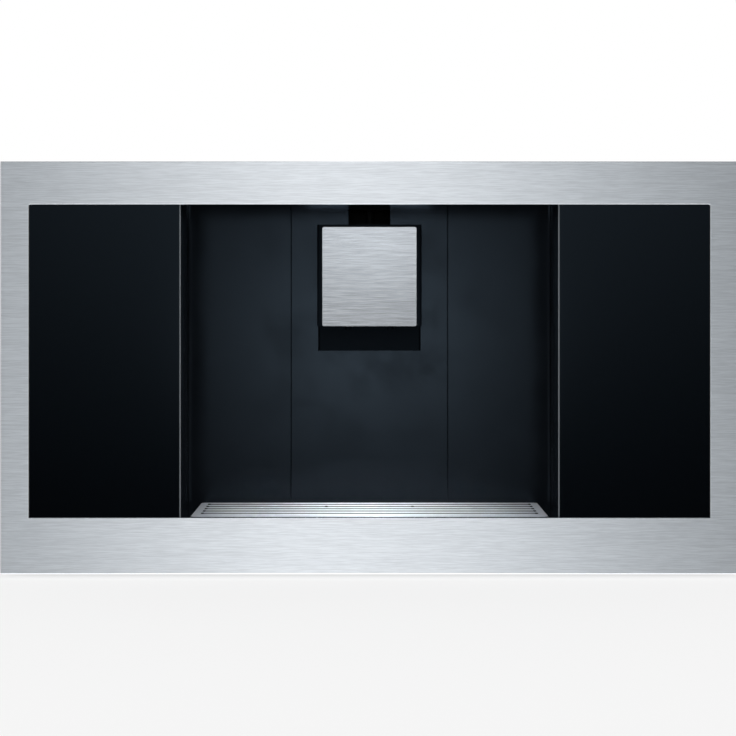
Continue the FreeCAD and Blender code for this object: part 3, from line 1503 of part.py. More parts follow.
def brew_chamber():
    """Open cylinder that the coffee is pressed in."""
    base = point(-bay_x, chamber_y, chamber_z0)
    return ring(CHAMBER_RADIUS, CHAMBER_BORE, base, Z_AXIS, CHAMBER_HEIGHT)


def brew_sieve():
    """Perforated disc on the chamber's floor."""
    base = point(-bay_x, chamber_y, chamber_z0)
    disc = cylinder(CHAMBER_BORE - FIT_GAP, base, Z_AXIS, SIEVE_HEIGHT)
    holes = []
    for index in range(SIEVE_HOLE_COUNT):
        angle = 2 * math.pi * index / SIEVE_HOLE_COUNT
        offset = point(SIEVE_RING_RADIUS * math.cos(angle), SIEVE_RING_RADIUS * math.sin(angle), 0)
        holes.append(cylinder(SIEVE_HOLE_RADIUS, base + offset, Z_AXIS, SIEVE_HEIGHT))
    return carve(disc, *holes)


def brew_piston():
    """Piston and crosshead that the spindle drives down into the chamber."""
    piston = cylinder(CHAMBER_BORE - FIT_GAP, point(-bay_x, chamber_y, piston_z0), Z_AXIS, PISTON_HEIGHT)
    rod = cylinder(
        PISTON_ROD_RADIUS, point(-bay_x, chamber_y, piston_z0 + PISTON_HEIGHT), Z_AXIS, PISTON_ROD_LENGTH
    )
    half = CROSSHEAD_WIDTH / 2
    bar = block(
        -bay_x - half, -bay_x + half, chamber_y, spindle_y, crosshead_z0, crosshead_z0 + CROSSHEAD_HEIGHT
    )
    ends = [
        cylinder(radius, point(-bay_x, y, crosshead_z0), Z_AXIS, CROSSHEAD_HEIGHT)
        for y, radius in ((chamber_y, half), (spindle_y, SPINDLE_COLLAR_RADIUS))
    ]
    nut = cylinder(
        SPINDLE_RADIUS + RUNNING_GAP, point(-bay_x, spindle_y, crosshead_z0), Z_AXIS, CROSSHEAD_HEIGHT
    )
    return carve(join(piston, rod, bar, *ends), nut)


def brew_spindle():
    """Lead screw of the brew unit, held in the cassette by a collar on its floor."""
    z0 = brew_z0 - SPINDLE_TAIL
    rod = cylinder(SPINDLE_RADIUS, point(-bay_x, spindle_y, z0), Z_AXIS, brew_z1 - z0)
    collar = cylinder(
        SPINDLE_COLLAR_RADIUS, point(-bay_x, spindle_y, brew_z0 + BREW_PLATE), Z_AXIS, SPINDLE_COLLAR
    )
    radius = SPINDLE_RADIUS
    flat = block(
        -bay_x + radius / 2, -bay_x + radius, spindle_y - radius, spindle_y + radius, z0, brew_z0 - FIT_GAP
    )
    return carve(join(rod, collar), flat)


def brew_motor():
    """Geared motor under the spindle, on the bay's floor."""
    top = brew_z0 - SPINDLE_TAIL - FIT_GAP
    can_top = top - MOTOR_SHAFT
    can = cylinder(BREW_MOTOR_RADIUS, point(-bay_x, spindle_y, grounds_z0), Z_AXIS, can_top - grounds_z0)
    can = can.makeFillet(MOTOR_SHAFT_RADIUS, edges_on_plane(can, Z_AXIS, can_top))
    shaft = cylinder(MOTOR_SHAFT_RADIUS, point(-bay_x, spindle_y, can_top), Z_AXIS, MOTOR_SHAFT)
    return join(can, shaft)


def lock_lever():
    """Lever in front of the brew unit that locks it in its bay."""
    y1 = brew_y0 - FIT_GAP
    y0 = y1 - LEVER_THICKNESS
    hub = cylinder(LEVER_HUB_RADIUS, point(-bay_x, y0, lever_z), Y_AXIS, LEVER_THICKNESS)
    half = LEVER_WIDTH / 2
    arm = block(-bay_x - half, -bay_x + half, y0, y1, lever_z - LEVER_LENGTH, lever_z)
    tip = cylinder(half, point(-bay_x, y0, lever_z - LEVER_LENGTH), Y_AXIS, LEVER_THICKNESS)
    pin = cylinder(LEVER_PIN_RADIUS, point(-bay_x, y1, lever_z), Y_AXIS, LEVER_PIN_LENGTH)
    return join(hub, arm, tip, pin)


def grounds_container():
    """Tub for spent coffee with a finger grip in its front."""
    gap = BAY_WALL + GROUNDS_GAP
    x0, x1 = -bay_x1 + gap, -bay_x0 - gap
    y0 = body_front_y + GROUNDS_SETBACK
    y1 = y0 + GROUNDS_DEPTH
    wall = GROUNDS_WALL
    tub = rounded(block(x0, x1, y0, y1, grounds_z0, grounds_z1), GROUNDS_CORNER_RADIUS, Z_AXIS)
    inside = rounded(
        block(x0 + wall, x1 - wall, y0 + wall, y1 - wall, grounds_z0 + wall, grounds_z1 + OVERRUN),
        GROUNDS_CORNER_RADIUS - wall,
        Z_AXIS,
    )
    grip = block(
        -bay_x - GRIP_WIDTH / 2,
        -bay_x + GRIP_WIDTH / 2,
        y0 - OVERRUN,
        y0 + wall + OVERRUN,
        grounds_z1 - GRIP_HEIGHT,
        grounds_z1 + OVERRUN,
    )
    return carve(tub, inside, grip)


def bean_shelf():
    """Shelf over the left bay with the chute that feeds the grinder."""
    back_y = grinder_y + CHUTE_TOP_RADIUS + BEAN_SHELF_TAIL
    shelf = block(-bay_x1, -bay_x0, fascia_back_y, back_y, shelf_z, shelf_z + BEAN_SHELF)
    height = shelf_z - grinder_z1
    base = point(grinder_x, grinder_y, grinder_z1)
    funnel = Part.makeCone(CHUTE_BOTTOM_RADIUS, CHUTE_TOP_RADIUS, height, base, Z_AXIS)
    bore = Part.makeCone(CHUTE_BOTTOM_RADIUS - CHUTE_WALL, CHUTE_TOP_RADIUS - CHUTE_WALL, height, base, Z_AXIS)
    throat = cylinder(
        CHUTE_TOP_RADIUS - CHUTE_WALL, point(grinder_x, grinder_y, shelf_z), Z_AXIS, BEAN_SHELF
    )
    return carve(join(shelf, funnel), bore, throat)


def bean_drawer():
    """Bean container that sits on the shelf, with an outlet over the chute."""
    x0, x1 = -bay_x1 + BAY_WALL + FIT_GAP, -bay_x0 - BAY_WALL - FIT_GAP
    y0 = body_front_y + TANK_SETBACK
    y1 = grinder_y + CHUTE_TOP_RADIUS + BEAN_WALL
    z1 = drawer_z0 + BEAN_DRAWER_HEIGHT
    wall = BEAN_WALL
    tub = block(x0, x1, y0, y1, drawer_z0, z1)
    inside = rounded(
        block(x0 + wall, x1 - wall, y0 + BEAN_FRONT, y1 - wall, drawer_z0 + wall, z1 + OVERRUN), wall, Z_AXIS
    )
    outlet = cylinder(CHUTE_TOP_RADIUS - CHUTE_WALL, point(grinder_x, grinder_y, drawer_z0), Z_AXIS, wall)
    return carve(tub, inside, outlet)


def grinder_motor():
    """Upright motor with a flange for the grinder."""
    base = point(grinder_x, grinder_y, pan_top_z)
    can = cylinder(GRINDER_MOTOR_RADIUS, base, Z_AXIS, GRINDER_MOTOR_HEIGHT)
    flange = cylinder(
        GRINDER_FLANGE_RADIUS, point(grinder_x, grinder_y, grinder_z0 - GRINDER_FLANGE), Z_AXIS, GRINDER_FLANGE
    )
    foot = cylinder(GRINDER_FLANGE_RADIUS, base, Z_AXIS, GRINDER_FLANGE)
    bore = cylinder(
        SHAFT_RADIUS + RUNNING_GAP, point(grinder_x, grinder_y, grinder_z0 - SHAFT_TAIL), Z_AXIS, SHAFT_TAIL
    )
    return carve(join(can, flange, foot), bore)


def grinder_housing():
    """Grinding chamber with an outlet towards the brew unit."""
    base = point(grinder_x, grinder_y, grinder_z0)
    cup = cylinder(GRINDER_RADIUS, base, Z_AXIS, GRINDER_HEIGHT)
    floor_z = grinder_z0 + GRINDER_FLOOR
    roof_z = grinder_z1 - GRINDER_FLOOR
    hollow_base = point(grinder_x, grinder_y, floor_z)
    hollow = cylinder(GRINDER_RADIUS - GRINDER_WALL, hollow_base, Z_AXIS, roof_z - floor_z)
    throat_base = point(grinder_x, grinder_y, roof_z)
    throat = cylinder(CHUTE_BOTTOM_RADIUS - CHUTE_WALL, throat_base, Z_AXIS, GRINDER_FLOOR)
    bore = cylinder(SHAFT_RADIUS + RUNNING_GAP, base, Z_AXIS, GRINDER_FLOOR)
    outlet = block(
        grinder_x - OUTLET_WIDTH / 2,
        grinder_x + OUTLET_WIDTH / 2,
        grinder_y - GRINDER_RADIUS - OVERRUN,
        grinder_y,
        floor_z,
        floor_z + OUTLET_HEIGHT,
    )
    return carve(cup, hollow, throat, bore, outlet)


def burr_grooves(z):
    """Radial cuts across a burr's face."""
    cuts = []
    for index in range(BURR_GROOVES):
        cut = block(
            BURR_HUB_RADIUS,
            BURR_RADIUS + OVERRUN,
            -BURR_GROOVE_WIDTH / 2,
            BURR_GROOVE_WIDTH / 2,
            -BURR_GROOVE_DEPTH,
            BURR_GROOVE_DEPTH,
        )
        cut.rotate(point(0, 0, 0), Z_AXIS, 360.0 * index / BURR_GROOVES)
        cut.translate(point(grinder_x, grinder_y, z))
        cuts.append(cut)
    return cuts


def lower_burr():
    """Turning burr on the motor's shaft."""
    disc = cylinder(BURR_RADIUS, point(grinder_x, grinder_y, burr_z0), Z_AXIS, BURR_HEIGHT)
    shaft_z = grinder_z0 - SHAFT_TAIL
    shaft = cylinder(SHAFT_RADIUS, point(grinder_x, grinder_y, shaft_z), Z_AXIS, burr_z0 - shaft_z)
    return join(carve(disc, *burr_grooves(burr_z1)), shaft)


def upper_burr():
    """Fixed burr ring, held under the grinder's roof."""
    z0 = burr_z1 + BURR_GAP
    height = grinder_z1 - GRINDER_FLOOR - z0
    base = point(grinder_x, grinder_y, z0)
    body = ring(BURR_RADIUS, UPPER_BURR_BORE, base, Z_AXIS, height)
    return carve(body, *burr_grooves(z0))


def pump():
    """Vibration pump: a square coil on a round barrel with a spigot at each end."""
    axis_start = point(pump_x0, pump_y, pump_z)
    barrel = cylinder(PUMP_BARREL_RADIUS, axis_start, X_AXIS, PUMP_LENGTH)
    middle = (pump_x0 + pump_x1) / 2
    half = PUMP_COIL_SIZE / 2
    coil = block(
        middle - PUMP_COIL_LENGTH / 2,
        middle + PUMP_COIL_LENGTH / 2,
        pump_y - half,
        pump_y + half,
        pump_z - half,
        pump_z + half,
    )
    coil = rounded(coil, PUMP_SPIGOT_RADIUS, X_AXIS)
    spigots = cylinder(
        PUMP_SPIGOT_RADIUS, point(pump_x0 - PUMP_SPIGOT, pump_y, pump_z), X_AXIS, PUMP_LENGTH + PUMP_SPIGOT * 2
    )
    return join(barrel, coil, spigots)


def pump_cradle():
    """Two rubber-lined uprights that hold the pump's barrel."""
    uprights = []
    for x in (pump_x0 + PUMP_CRADLE_INSET, pump_x1 - PUMP_CRADLE_INSET):
        half = PUMP_CRADLE_SHEET / 2
        upright = block(
            x - half,
            x + half,
            pump_y - PUMP_CRADLE_WIDTH / 2,
            pump_y + PUMP_CRADLE_WIDTH / 2,
            pan_top_z,
            pump_z + PUMP_BARREL_RADIUS + GROMMET_WALL,
        )
        bore = PUMP_BARREL_RADIUS + RUNNING_GAP
        hole = cylinder(bore, point(x - half, pump_y, pump_z), X_AXIS, PUMP_CRADLE_SHEET)
        uprights.append(carve(upright, hole))
    return group(uprights)


def heater():
    """Finned heating block on two legs, with a water port at each end."""
    y0, y1 = heater_y - HEATER_DEPTH / 2, heater_y + HEATER_DEPTH / 2
    core = block(heater_x0, heater_x1, y0, y1, heater_z0, heater_z1)
    pitch = HEATER_LENGTH / (HEATER_FIN_COUNT + 1)
    middle = (heater_x0 + heater_x1) / 2
    fins = [
        block(
            middle + offset - HEATER_FIN_WIDTH / 2,
            middle + offset + HEATER_FIN_WIDTH / 2,
            y - HEATER_FIN_DEPTH,
            y + HEATER_FIN_DEPTH,
            heater_z0,
            heater_z1,
        )
        for offset in spread(HEATER_FIN_COUNT, pitch)
        for y in (y0, y1)
    ]
    legs = [
        block(x, x + HEATER_LEG, y0, y1, pan_top_z, heater_z0)
        for x in (heater_x0, heater_x1 - HEATER_LEG)
    ]
    inlet = cylinder(HOSE_RADIUS, point(heater_x1, heater_y, heater_inlet_z()), X_AXIS, PUMP_SPIGOT)
    outlet = cylinder(
        HOSE_RADIUS, point(heater_x0 - PUMP_SPIGOT, heater_y, heater_outlet_z()), X_AXIS, PUMP_SPIGOT
    )
    return join(carve(core, *fins), *legs, inlet, outlet)


def heater_inlet_z():
    return heater_z0 + HEATER_PORT_INSET


def heater_outlet_z():
    return heater_z1 - HEATER_PORT_INSET


def water_hoses():
    """Hoses from tank to pump, pump to heater, heater to brew unit and brew unit to spout."""
    tank_end = point(bay_x, bay_back_y + PUMP_SPIGOT, spigot_z)
    pump_in = point(pump_x1 + PUMP_SPIGOT, pump_y, pump_z)
    pump_out = point(pump_x0 - PUMP_SPIGOT, pump_y, pump_z)
    heater_in = point(heater_x1 + PUMP_SPIGOT, heater_y, heater_inlet_z())
    heater_out = point(heater_x0 - PUMP_SPIGOT, heater_y, heater_outlet_z())
    brew_in = water_port() + Y_AXIS * PUMP_SPIGOT
    brew_out = coffee_port() + Y_AXIS * PUMP_SPIGOT
    spout_in = point(0, guide_y, guide_z1 + GUIDE_WALL + FEED_TUBE_STUB)
    turn = HOSE_BEND * 2
    tank_hose = hose(
        [tank_end, point(bay_x, pump_y, spigot_z), pump_in + point(turn, 0, 0), pump_in]
    )
    heater_hose = hose([pump_out, pump_out - X_AXIS * turn, heater_in + X_AXIS * turn, heater_in])
    brew_hose = hose(
        [
            heater_out,
            point(brew_port_x, heater_y, heater_outlet_z()),
            point(brew_port_x, heater_y, brew_in.z),
            brew_in,
        ]
    )
    over_z = body_z1 - SHEET - HOSE_RADIUS - FIT_GAP * 4
    clear_x = -bay_x0 + HOSE_RISE
    spout_hose = hose(
        [
            brew_out,
            brew_out + Y_AXIS * turn,
            point(clear_x, brew_out.y + turn, brew_out.z),
            point(clear_x, brew_out.y + turn, over_z),
            point(0, guide_y, over_z),
            spout_in,
        ]
    )
    return group([tank_hose, heater_hose, brew_hose, spout_hose])


def control_board():
    """Main board on standoffs along the right-hand side."""
    x1 = half_case - BOARD_STANDOFF
    x0 = x1 - BOARD_SHEET
    y1 = flange_front_y - BOARD_BACK_GAP
    y0 = y1 - BOARD_LENGTH
    z0 = body_z0 + BOARD_BASE_HEIGHT
    z1 = z0 + BOARD_HEIGHT
    board = block(x0, x1, y0, y1, z0, z1)
    inset = BOARD_STANDOFF_INSET
    standoffs = [
        cylinder(BOARD_STANDOFF_RADIUS, point(x1, y, z), X_AXIS, BOARD_STANDOFF)
        for y in (y0 + inset, y1 - inset)
        for z in (z0 + inset, z1 - inset)
    ]
    middle_y, middle_z = (y0 + y1) / 2, (z0 + z1) / 2
    capacitor_x, capacitor_z = x0 - CAPACITOR_HEIGHT, z0 + inset * 2
    capacitors = [
        cylinder(CAPACITOR_RADIUS, point(capacitor_x, middle_y + offset, capacitor_z), X_AXIS, CAPACITOR_HEIGHT)
        for offset in spread(2, CAPACITOR_RADIUS * 3)
    ]
    half = TRANSFORMER_SIZE / 2
    transformer = block(
        x0 - TRANSFORMER_HEIGHT,
        x0,
        y1 - inset * 2 - TRANSFORMER_SIZE,
        y1 - inset * 2,
        middle_z - half,
        middle_z + half,
    )
    heatsink = block(
        x0 - HEATSINK_HEIGHT,
        x0,
        y0 + inset * 2,
        y0 + inset * 2 + HEATSINK_LENGTH,
        z1 - inset * 2 - HEATSINK_THICKNESS,
        z1 - inset * 2,
    )
    return join(board, *standoffs, *capacitors, transformer, heatsink)


def mains_inlet():
    """Three-pin appliance inlet in the rear cover."""
    half_w, half_h = INLET_WIDTH / 2, INLET_HEIGHT / 2
    body = block(
        inlet_x - half_w,
        inlet_x + half_w,
        body_back_y - INLET_DEPTH,
        body_back_y,
        inlet_z - half_h,
        inlet_z + half_h,
    )
    flange = block(
        inlet_x - INLET_FLANGE_WIDTH / 2,
        inlet_x + INLET_FLANGE_WIDTH / 2,
        body_back_y,
        body_back_y + INLET_FLANGE,
        inlet_z - half_h - INLET_WALL,
        inlet_z + half_h + INLET_WALL,
    )
    flange = rounded(flange, INLET_WALL, Y_AXIS)
    wall = INLET_WALL
    floor_y = body_back_y - INLET_DEPTH + wall * 2
    socket = block(
        inlet_x - half_w + wall,
        inlet_x + half_w - wall,
        floor_y,
        body_back_y + INLET_FLANGE,
        inlet_z - half_h + wall,
        inlet_z + half_h - wall,
    )
    pins = []
    for index, offset in enumerate(spread(3, INLET_PIN_PITCH)):
        rise = INLET_PIN_WIDTH if index == 1 else -INLET_PIN_WIDTH
        pins.append(
            block(
                inlet_x + offset - INLET_PIN_WIDTH / 2,
                inlet_x + offset + INLET_PIN_WIDTH / 2,
                floor_y,
                floor_y + INLET_PIN_LENGTH,
                inlet_z + rise - INLET_PIN_HEIGHT / 2,
                inlet_z + rise + INLET_PIN_HEIGHT / 2,
            )
        )
    return join(carve(join(body, flange), socket), *pins)


def build():
    """Every piece by name."""
    right_glass = glass_panel()
    right_side = side_panel()
    return {
        "door_frame": door_frame(),
        "glass_left": mirrored(right_glass),
        "glass_right": right_glass,
        "door_carrier": door_carrier(),
        "door_inner_panel": door_inner_panel(),
        "door_screws": door_screws(),
        "touch_board": touch_board(),
        "hinge_blocks": hinge_blocks(),
        "hinge_brackets": hinge_brackets(),
        "fascia": fascia(),
        "mains_switch": mains_switch(),
        "door_bumpers": door_bumpers(),
        "door_magnets": door_magnets(),
        "base_pan": base_pan(),
        "top_panel": top_panel(),
        "side_panel_left": mirrored(right_side),
        "side_panel_right": right_side,
        "rear_cover": rear_cover(),
        "feet": feet(),
        "case_screws": case_screws(),
        "niche_liner": niche_liner(),
        "niche_light": niche_light(),
        "niche_centre_panel": niche_centre_panel(),
        "spout_housing": spout_housing(),
        "spout_plate": spout_plate(),
        "coffee_nozzles": coffee_nozzles(),
        "milk_frother": milk_frother(),
        "spout_carriage": spout_carriage(),
        "guide_housing": guide_housing(),
        "guide_rods": guide_rods(),
        "feed_tube": feed_tube(),
        "drip_tray": drip_tray(),
        "drip_grate": drip_grate(),
        "tray_float": tray_float(),
        "tank_bay": tank_bay(),
        "tank_dock": tank_dock(),
        "water_tank": water_tank(),
        "tank_valve": tank_valve(),
        "tank_lid": tank_lid(),
        "brew_bay": brew_bay(),
        "brew_frame": brew_frame(),
        "brew_chamber": brew_chamber(),
        "brew_sieve": brew_sieve(),
        "brew_piston": brew_piston(),
        "brew_spindle": brew_spindle(),
        "brew_motor": brew_motor(),
        "lock_lever": lock_lever(),
        "grounds_container": grounds_container(),
        "bean_shelf": bean_shelf(),
        "bean_drawer": bean_drawer(),
        "grinder_motor": grinder_motor(),
        "grinder_housing": grinder_housing(),
        "lower_burr": lower_burr(),
        "upper_burr": upper_burr(),
        "pump": pump(),
        "pump_cradle": pump_cradle(),
        "heater": heater(),
        "water_hoses": water_hoses(),
        "control_board": control_board(),
        "mains_inlet": mains_inlet(),
    }


os.makedirs(PARTS, exist_ok=True)
for node, shape in build().items():
    shape.exportStep(os.path.join(PARTS, node + ".step"))
    print(node, len(shape.Solids), "solids", shape.isValid())
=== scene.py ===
import math

import bmesh
import bpy
from bpy.props import FloatProperty, FloatVectorProperty, IntProperty, PointerProperty
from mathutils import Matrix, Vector


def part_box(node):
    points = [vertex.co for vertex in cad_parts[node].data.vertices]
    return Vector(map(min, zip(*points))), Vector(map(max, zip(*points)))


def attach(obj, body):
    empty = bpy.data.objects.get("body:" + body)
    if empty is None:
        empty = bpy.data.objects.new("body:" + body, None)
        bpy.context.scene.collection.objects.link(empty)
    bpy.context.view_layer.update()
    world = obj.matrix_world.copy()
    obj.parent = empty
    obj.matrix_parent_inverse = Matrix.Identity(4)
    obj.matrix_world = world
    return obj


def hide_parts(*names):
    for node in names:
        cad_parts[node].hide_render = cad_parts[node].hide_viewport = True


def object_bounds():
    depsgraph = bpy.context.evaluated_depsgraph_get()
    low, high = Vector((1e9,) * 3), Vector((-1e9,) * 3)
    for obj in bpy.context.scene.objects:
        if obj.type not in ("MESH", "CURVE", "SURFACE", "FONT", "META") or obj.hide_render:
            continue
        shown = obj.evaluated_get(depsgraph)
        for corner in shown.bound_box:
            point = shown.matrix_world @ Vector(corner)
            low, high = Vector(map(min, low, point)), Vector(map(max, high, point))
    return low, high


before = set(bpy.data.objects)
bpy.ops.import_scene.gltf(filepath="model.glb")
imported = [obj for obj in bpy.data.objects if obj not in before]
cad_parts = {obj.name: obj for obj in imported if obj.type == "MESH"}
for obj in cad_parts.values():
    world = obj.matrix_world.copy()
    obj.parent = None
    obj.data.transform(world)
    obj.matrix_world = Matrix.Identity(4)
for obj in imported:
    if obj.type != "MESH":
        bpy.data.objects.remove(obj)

bl_info = {
    "name": "Built-in coffee maker finishes",
    "version": (1, 0, 0),
    "blender": (4, 5, 0),
    "location": "View3D > Sidebar > Coffee maker",
    "description": "Finishes, small pieces and a studio for a built-in coffee maker",
    "category": "Object",
}

CAD_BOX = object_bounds()
WHITE = (1.0, 1.0, 1.0)

# Heights of surface grain, in metres
GRAIN_HEIGHT = 0.0002
ZINC_HEIGHT = 0.0003
TRACK_HEIGHT = 0.0001
SPANGLE_WOBBLE = 0.006

# Make-up of the grain: shares of a tone, and scales as shares of the grain's own
BROAD_STREAK_SHARE = 0.2
BROAD_SCALE_SHARE = 0.2
CLOUD_SCALE_SHARE = 0.02
PIT_SCALE_SHARE = 8.0

# Tones, heights and turns of a surface between which a finish changes, as shares
GRAIN_TONES = {"low": 0.35, "high": 0.65}
PATCH_TONES = {"low": 0.42, "high": 0.72}
TURNED_TO_FRONT = {"low": 0.85, "high": 0.99}
TURNED_ASIDE = {"low": 0.6, "high": 0.9}
# Where the grate's slat tops end and its painted shade in the grooves and drains' walls begins
SLAT_HEIGHT = {"low": 0.9, "high": 0.98}
SLAT_TURNED_UP = {"low": 0.5, "high": 0.9}
DRAIN_FROM_END = {"low": 0.015, "high": 0.02}
DRAIN_WALL = {"low": 0.2, "high": 0.4, "start": 1.0, "end": 0.0}
MIDDLE_TONE = 0.5

# Settings of the finishes
BRUSHED_ALONG_X = 0.25
CROWN_TOP_SHARE = 1.93
GLASS_INDEX = 1.5
PLASTIC_INDEX = 1.48
CLEAR_INDEX = 1.49
DUST_LEVEL = 0.12
SKIN_VARIATION = 0.12
SKIN_POLISH = 0.02
TRACK_SCALE = 180.0
TRACK_GAP_SHARE = 0.03
GRATE_METAL_SHARE = 0.1
# Share of the groove colour left on the drains' walls, a painted shade in the holes
DRAIN_SHADE_SHARE = 0.1
GLASS_EDGE_ROUGHNESS = 0.38
LENS_GLOW = 16.0
LENS_ROUGHNESS = 0.45

# Door seal and lead screw: lengths in metres along the cassette, the rest as shares or counts
SEAL_PROUD_SHARE = 0.6
SEAL_ROUNDNESS = 3
COLLAR_START = 0.006
COLLAR_END = 0.010
THREAD_GAP = 0.0005
THREAD_TOP_GAP = 0.006
THREAD_RUNOUT = 0.0002
ROD_SHARE = 0.6
RINGS_PER_TURN = 12
GROOVE_HALF_SHARE = 0.375
FLANK_SHARE = 0.125

# Studio: sizes in metres, places from the middle of the door's foot, angles in degrees
FLOOR_HALF = 6.0
FLOOR_ROUGHNESS = 0.9
FLOOR_WHITE_SHARE = 0.72
KEY_PLACE = (0.0, -0.9, 1.85)
KEY_SIZE = (1.8, 0.5)
SIDE_PLACE = (1.9, -0.9, 1.3)
SIDE_SIZE = (0.8, 0.8)
SPOT_PLACE = (0.0, -0.69, 1.46)
SPOT_SIZE = (0.06, 0.06)
SPOT_SPREAD = 9.2
LAMP_TARGET = (0.0, 0.0, 0.15)
SENSOR_WIDTH = 36.0
CLIP_END = 50.0

# Room that shiny surfaces see: rise and turn from straight ahead in degrees, and levels of brightness
COLUMN_ASIDE = 1.4
COLUMN_SPREAD = 6.3
COLUMN_FADE = {"low": 0.3, "high": 0.9}
GLOW_ABOVE = {"low": 5.0, "high": 22.0, "start": 0.0, "end": 2.2}
GLOW_BELOW = {"low": -25.0, "high": -9.5, "start": 3.1, "end": 0.0}
BAND_RISE = {"middle": 6.8, "spread": 6.6}
BAND_TURN = {"middle": 0.0, "spread": 9.5}
BAND_LEVEL = 0.5
GLINT_RISE = {"middle": -0.9, "spread": 2.0}
GLINT_TURN = {"middle": 0.0, "spread": 2.1}
GLINT_LEVEL = 3.6
COOL_SHARES = (0.92, 0.96, 1.0)
COLUMN_END_SHARES = (0.86, 0.94, 1.0)
SIDE_WALLS = {"low": 35.0, "high": 75.0}
SIDE_LEVEL = 0.85
UNDERSIDE = {"low": -65.0, "high": -40.0, "start": 1.0, "end": 0.0}
UNDERSIDE_LEVEL = 2.4


def colour(name, description, value):
    return FloatVectorProperty(
        name=name, description=description, subtype="COLOR", size=3, min=0.0, max=1.0, default=value
    )


def length(name, description, value):
    return FloatProperty(name=name, description=description, unit="LENGTH", default=value, precision=5)


def number(name, description, value, unit="NONE"):
    return FloatProperty(name=name, description=description, unit=unit, default=value)


def power(name, description, value):
    return number(name, description, value, "POWER")


class FinishColours(bpy.types.PropertyGroup):
    """Colours of the coffee maker's finishes."""

    steel: colour("Steel", "Brushed steel of the front frame", (0.70, 0.72, 0.745))
    # Plate: a darker copy of the front's steel, painted shade for the spout's face set back in the niche
    plate: colour("Plate", "Satin steel of the spout's face", (0.54, 0.555, 0.575))
    grate: colour("Grate", "Blasted steel of the drip grate", (0.74, 0.79, 0.85))
    glass: colour("Glass", "Black printed glass of the door", (0.0006, 0.0009, 0.0014))
    sheen: colour("Sheen", "Tint of the reflections in glass and lining", (0.60, 0.80, 1.0))
    # Lighter colour of the glass's edge: a painted highlight of light caught on its chamfer
    glass_edge_highlight: colour("Glass edge", "Ground edge of the door's glass", (0.50, 0.53, 0.55))
    niche: colour("Niche", "Satin lining of the cup niche", (0.010, 0.0125, 0.0165))
    moulding: colour("Moulding", "Black moulded panels and bays", (0.016, 0.017, 0.019))
    lining: colour("Lining", "Black mouldings behind the front", (0.0022, 0.0032, 0.0052))
    gloss: colour("Gloss", "Polished black mouldings", (0.0045, 0.0047, 0.0055))
    sheet: colour("Sheet", "Galvanised sheet of the casing", (0.46, 0.48, 0.50))
    rubber: colour("Rubber", "Feet, stops, seals and cradles", (0.018, 0.018, 0.018))
    silicone: colour("Silicone", "Water and coffee hoses", (0.62, 0.62, 0.60))
    clear: colour("Clear plastic", "Water tank", (0.80, 0.86, 0.90))
    smoked: colour("Smoked plastic", "Bean drawer and the tank's lid", (0.16, 0.15, 0.14))
    grey: colour("Grey moulding", "Brew unit and grinder mouldings", (0.20, 0.21, 0.22))
    lever: colour("Lever", "Handle of the brew unit's lock, and the tray's float", (0.33, 0.05, 0.025))
    board: colour("Board", "Circuit boards", (0.012, 0.095, 0.04))
    plated: colour("Plated steel", "Rods, screws, pins and motors", (0.56, 0.56, 0.55))
    alloy: colour("Alloy", "Cast heating block", (0.52, 0.52, 0.53))
    ferrite: colour("Ferrite", "Catch magnets", (0.045, 0.043, 0.042))
    lens: colour("Lens", "Frosted lamp lens", (0.80, 0.84, 0.90))
    floor: colour("Floor", "Studio floor", (0.86, 0.86, 0.86))


class FinishSizes(bpy.types.PropertyGroup):
    """Sizes of surface detail and of the small pieces."""

    brush_line: length("Brush line", "Width of one brushed line", 0.00042)
    brush_length: length("Brush length", "Length of one brushed line", 0.016)
    crown: length("Crown", "How far the spout face curves back over its own height", 0.0012)
    # The grate's grooves get this share of its colour, a painted shade between the slats
    groove_shade_share: number("Groove share", "Brightness of the grate's grooves", 0.12)
    skin_grain: length("Skin grain", "Grain of the moulded skins", 0.0007)
    spangle: length("Spangle", "Crystal size on galvanised sheet", 0.012)
    smear: length("Smear", "Size of wiping marks and dust patches", 0.05)
    seal_radius: length("Seal radius", "Bead of the door's seal", 0.0012)
    seal_margin: length("Seal margin", "Seal's distance from the niche opening", 0.012)
    pad_margin: length("Pad margin", "Border round the raised pads of the inner door", 0.022)
    pad_height: length("Pad height", "How far those pads stand out", 0.0012)
    thread_pitch: length("Thread pitch", "Distance between the lead screw's turns", 0.005)
    thread_depth: length("Thread depth", "Depth of the lead screw's thread", 0.0011)
    thread_steps: IntProperty(
        name="Thread steps", description="Points round the lead screw", default=36, min=8
    )


class StudioSettings(bpy.types.PropertyGroup):
    """Camera and light of the studio."""

    distance: length("Distance", "Camera to the front of the door", 1.5)
    height: length("Height", "Camera above the floor", 0.2248)
    aside: length("Aside", "Camera's offset to the left", 0.0012)
    lens: number("Lens", "Focal length on a 36 mm sensor", 91.1, "CAMERA")
    shift: number("Shift", "Vertical lens shift", -0.0924)
    key_power: power("Key power", "Power of the overhead softbox", 17.0)
    fill_power: power("Fill power", "Power of each side softbox", 9.0)
    spot_power: power("Spot power", "Power of the niche's spot", 0.118)
    ambient: number("Ambient", "Strength of the room's own light", 0.27)


def colours():
    return bpy.context.scene.coffee_maker_colours


def sizes():
    return bpy.context.scene.coffee_maker_sizes


def studio():
    return bpy.context.scene.coffee_maker_studio


def rgba(value, share=1.0):
    return tuple(min(1.0, channel * share) for channel in value) + (1.0,)


def grey(level):
    return (level, level, level, 1.0)


def toned(value, share):
    return tuple(channel * share for channel in value)


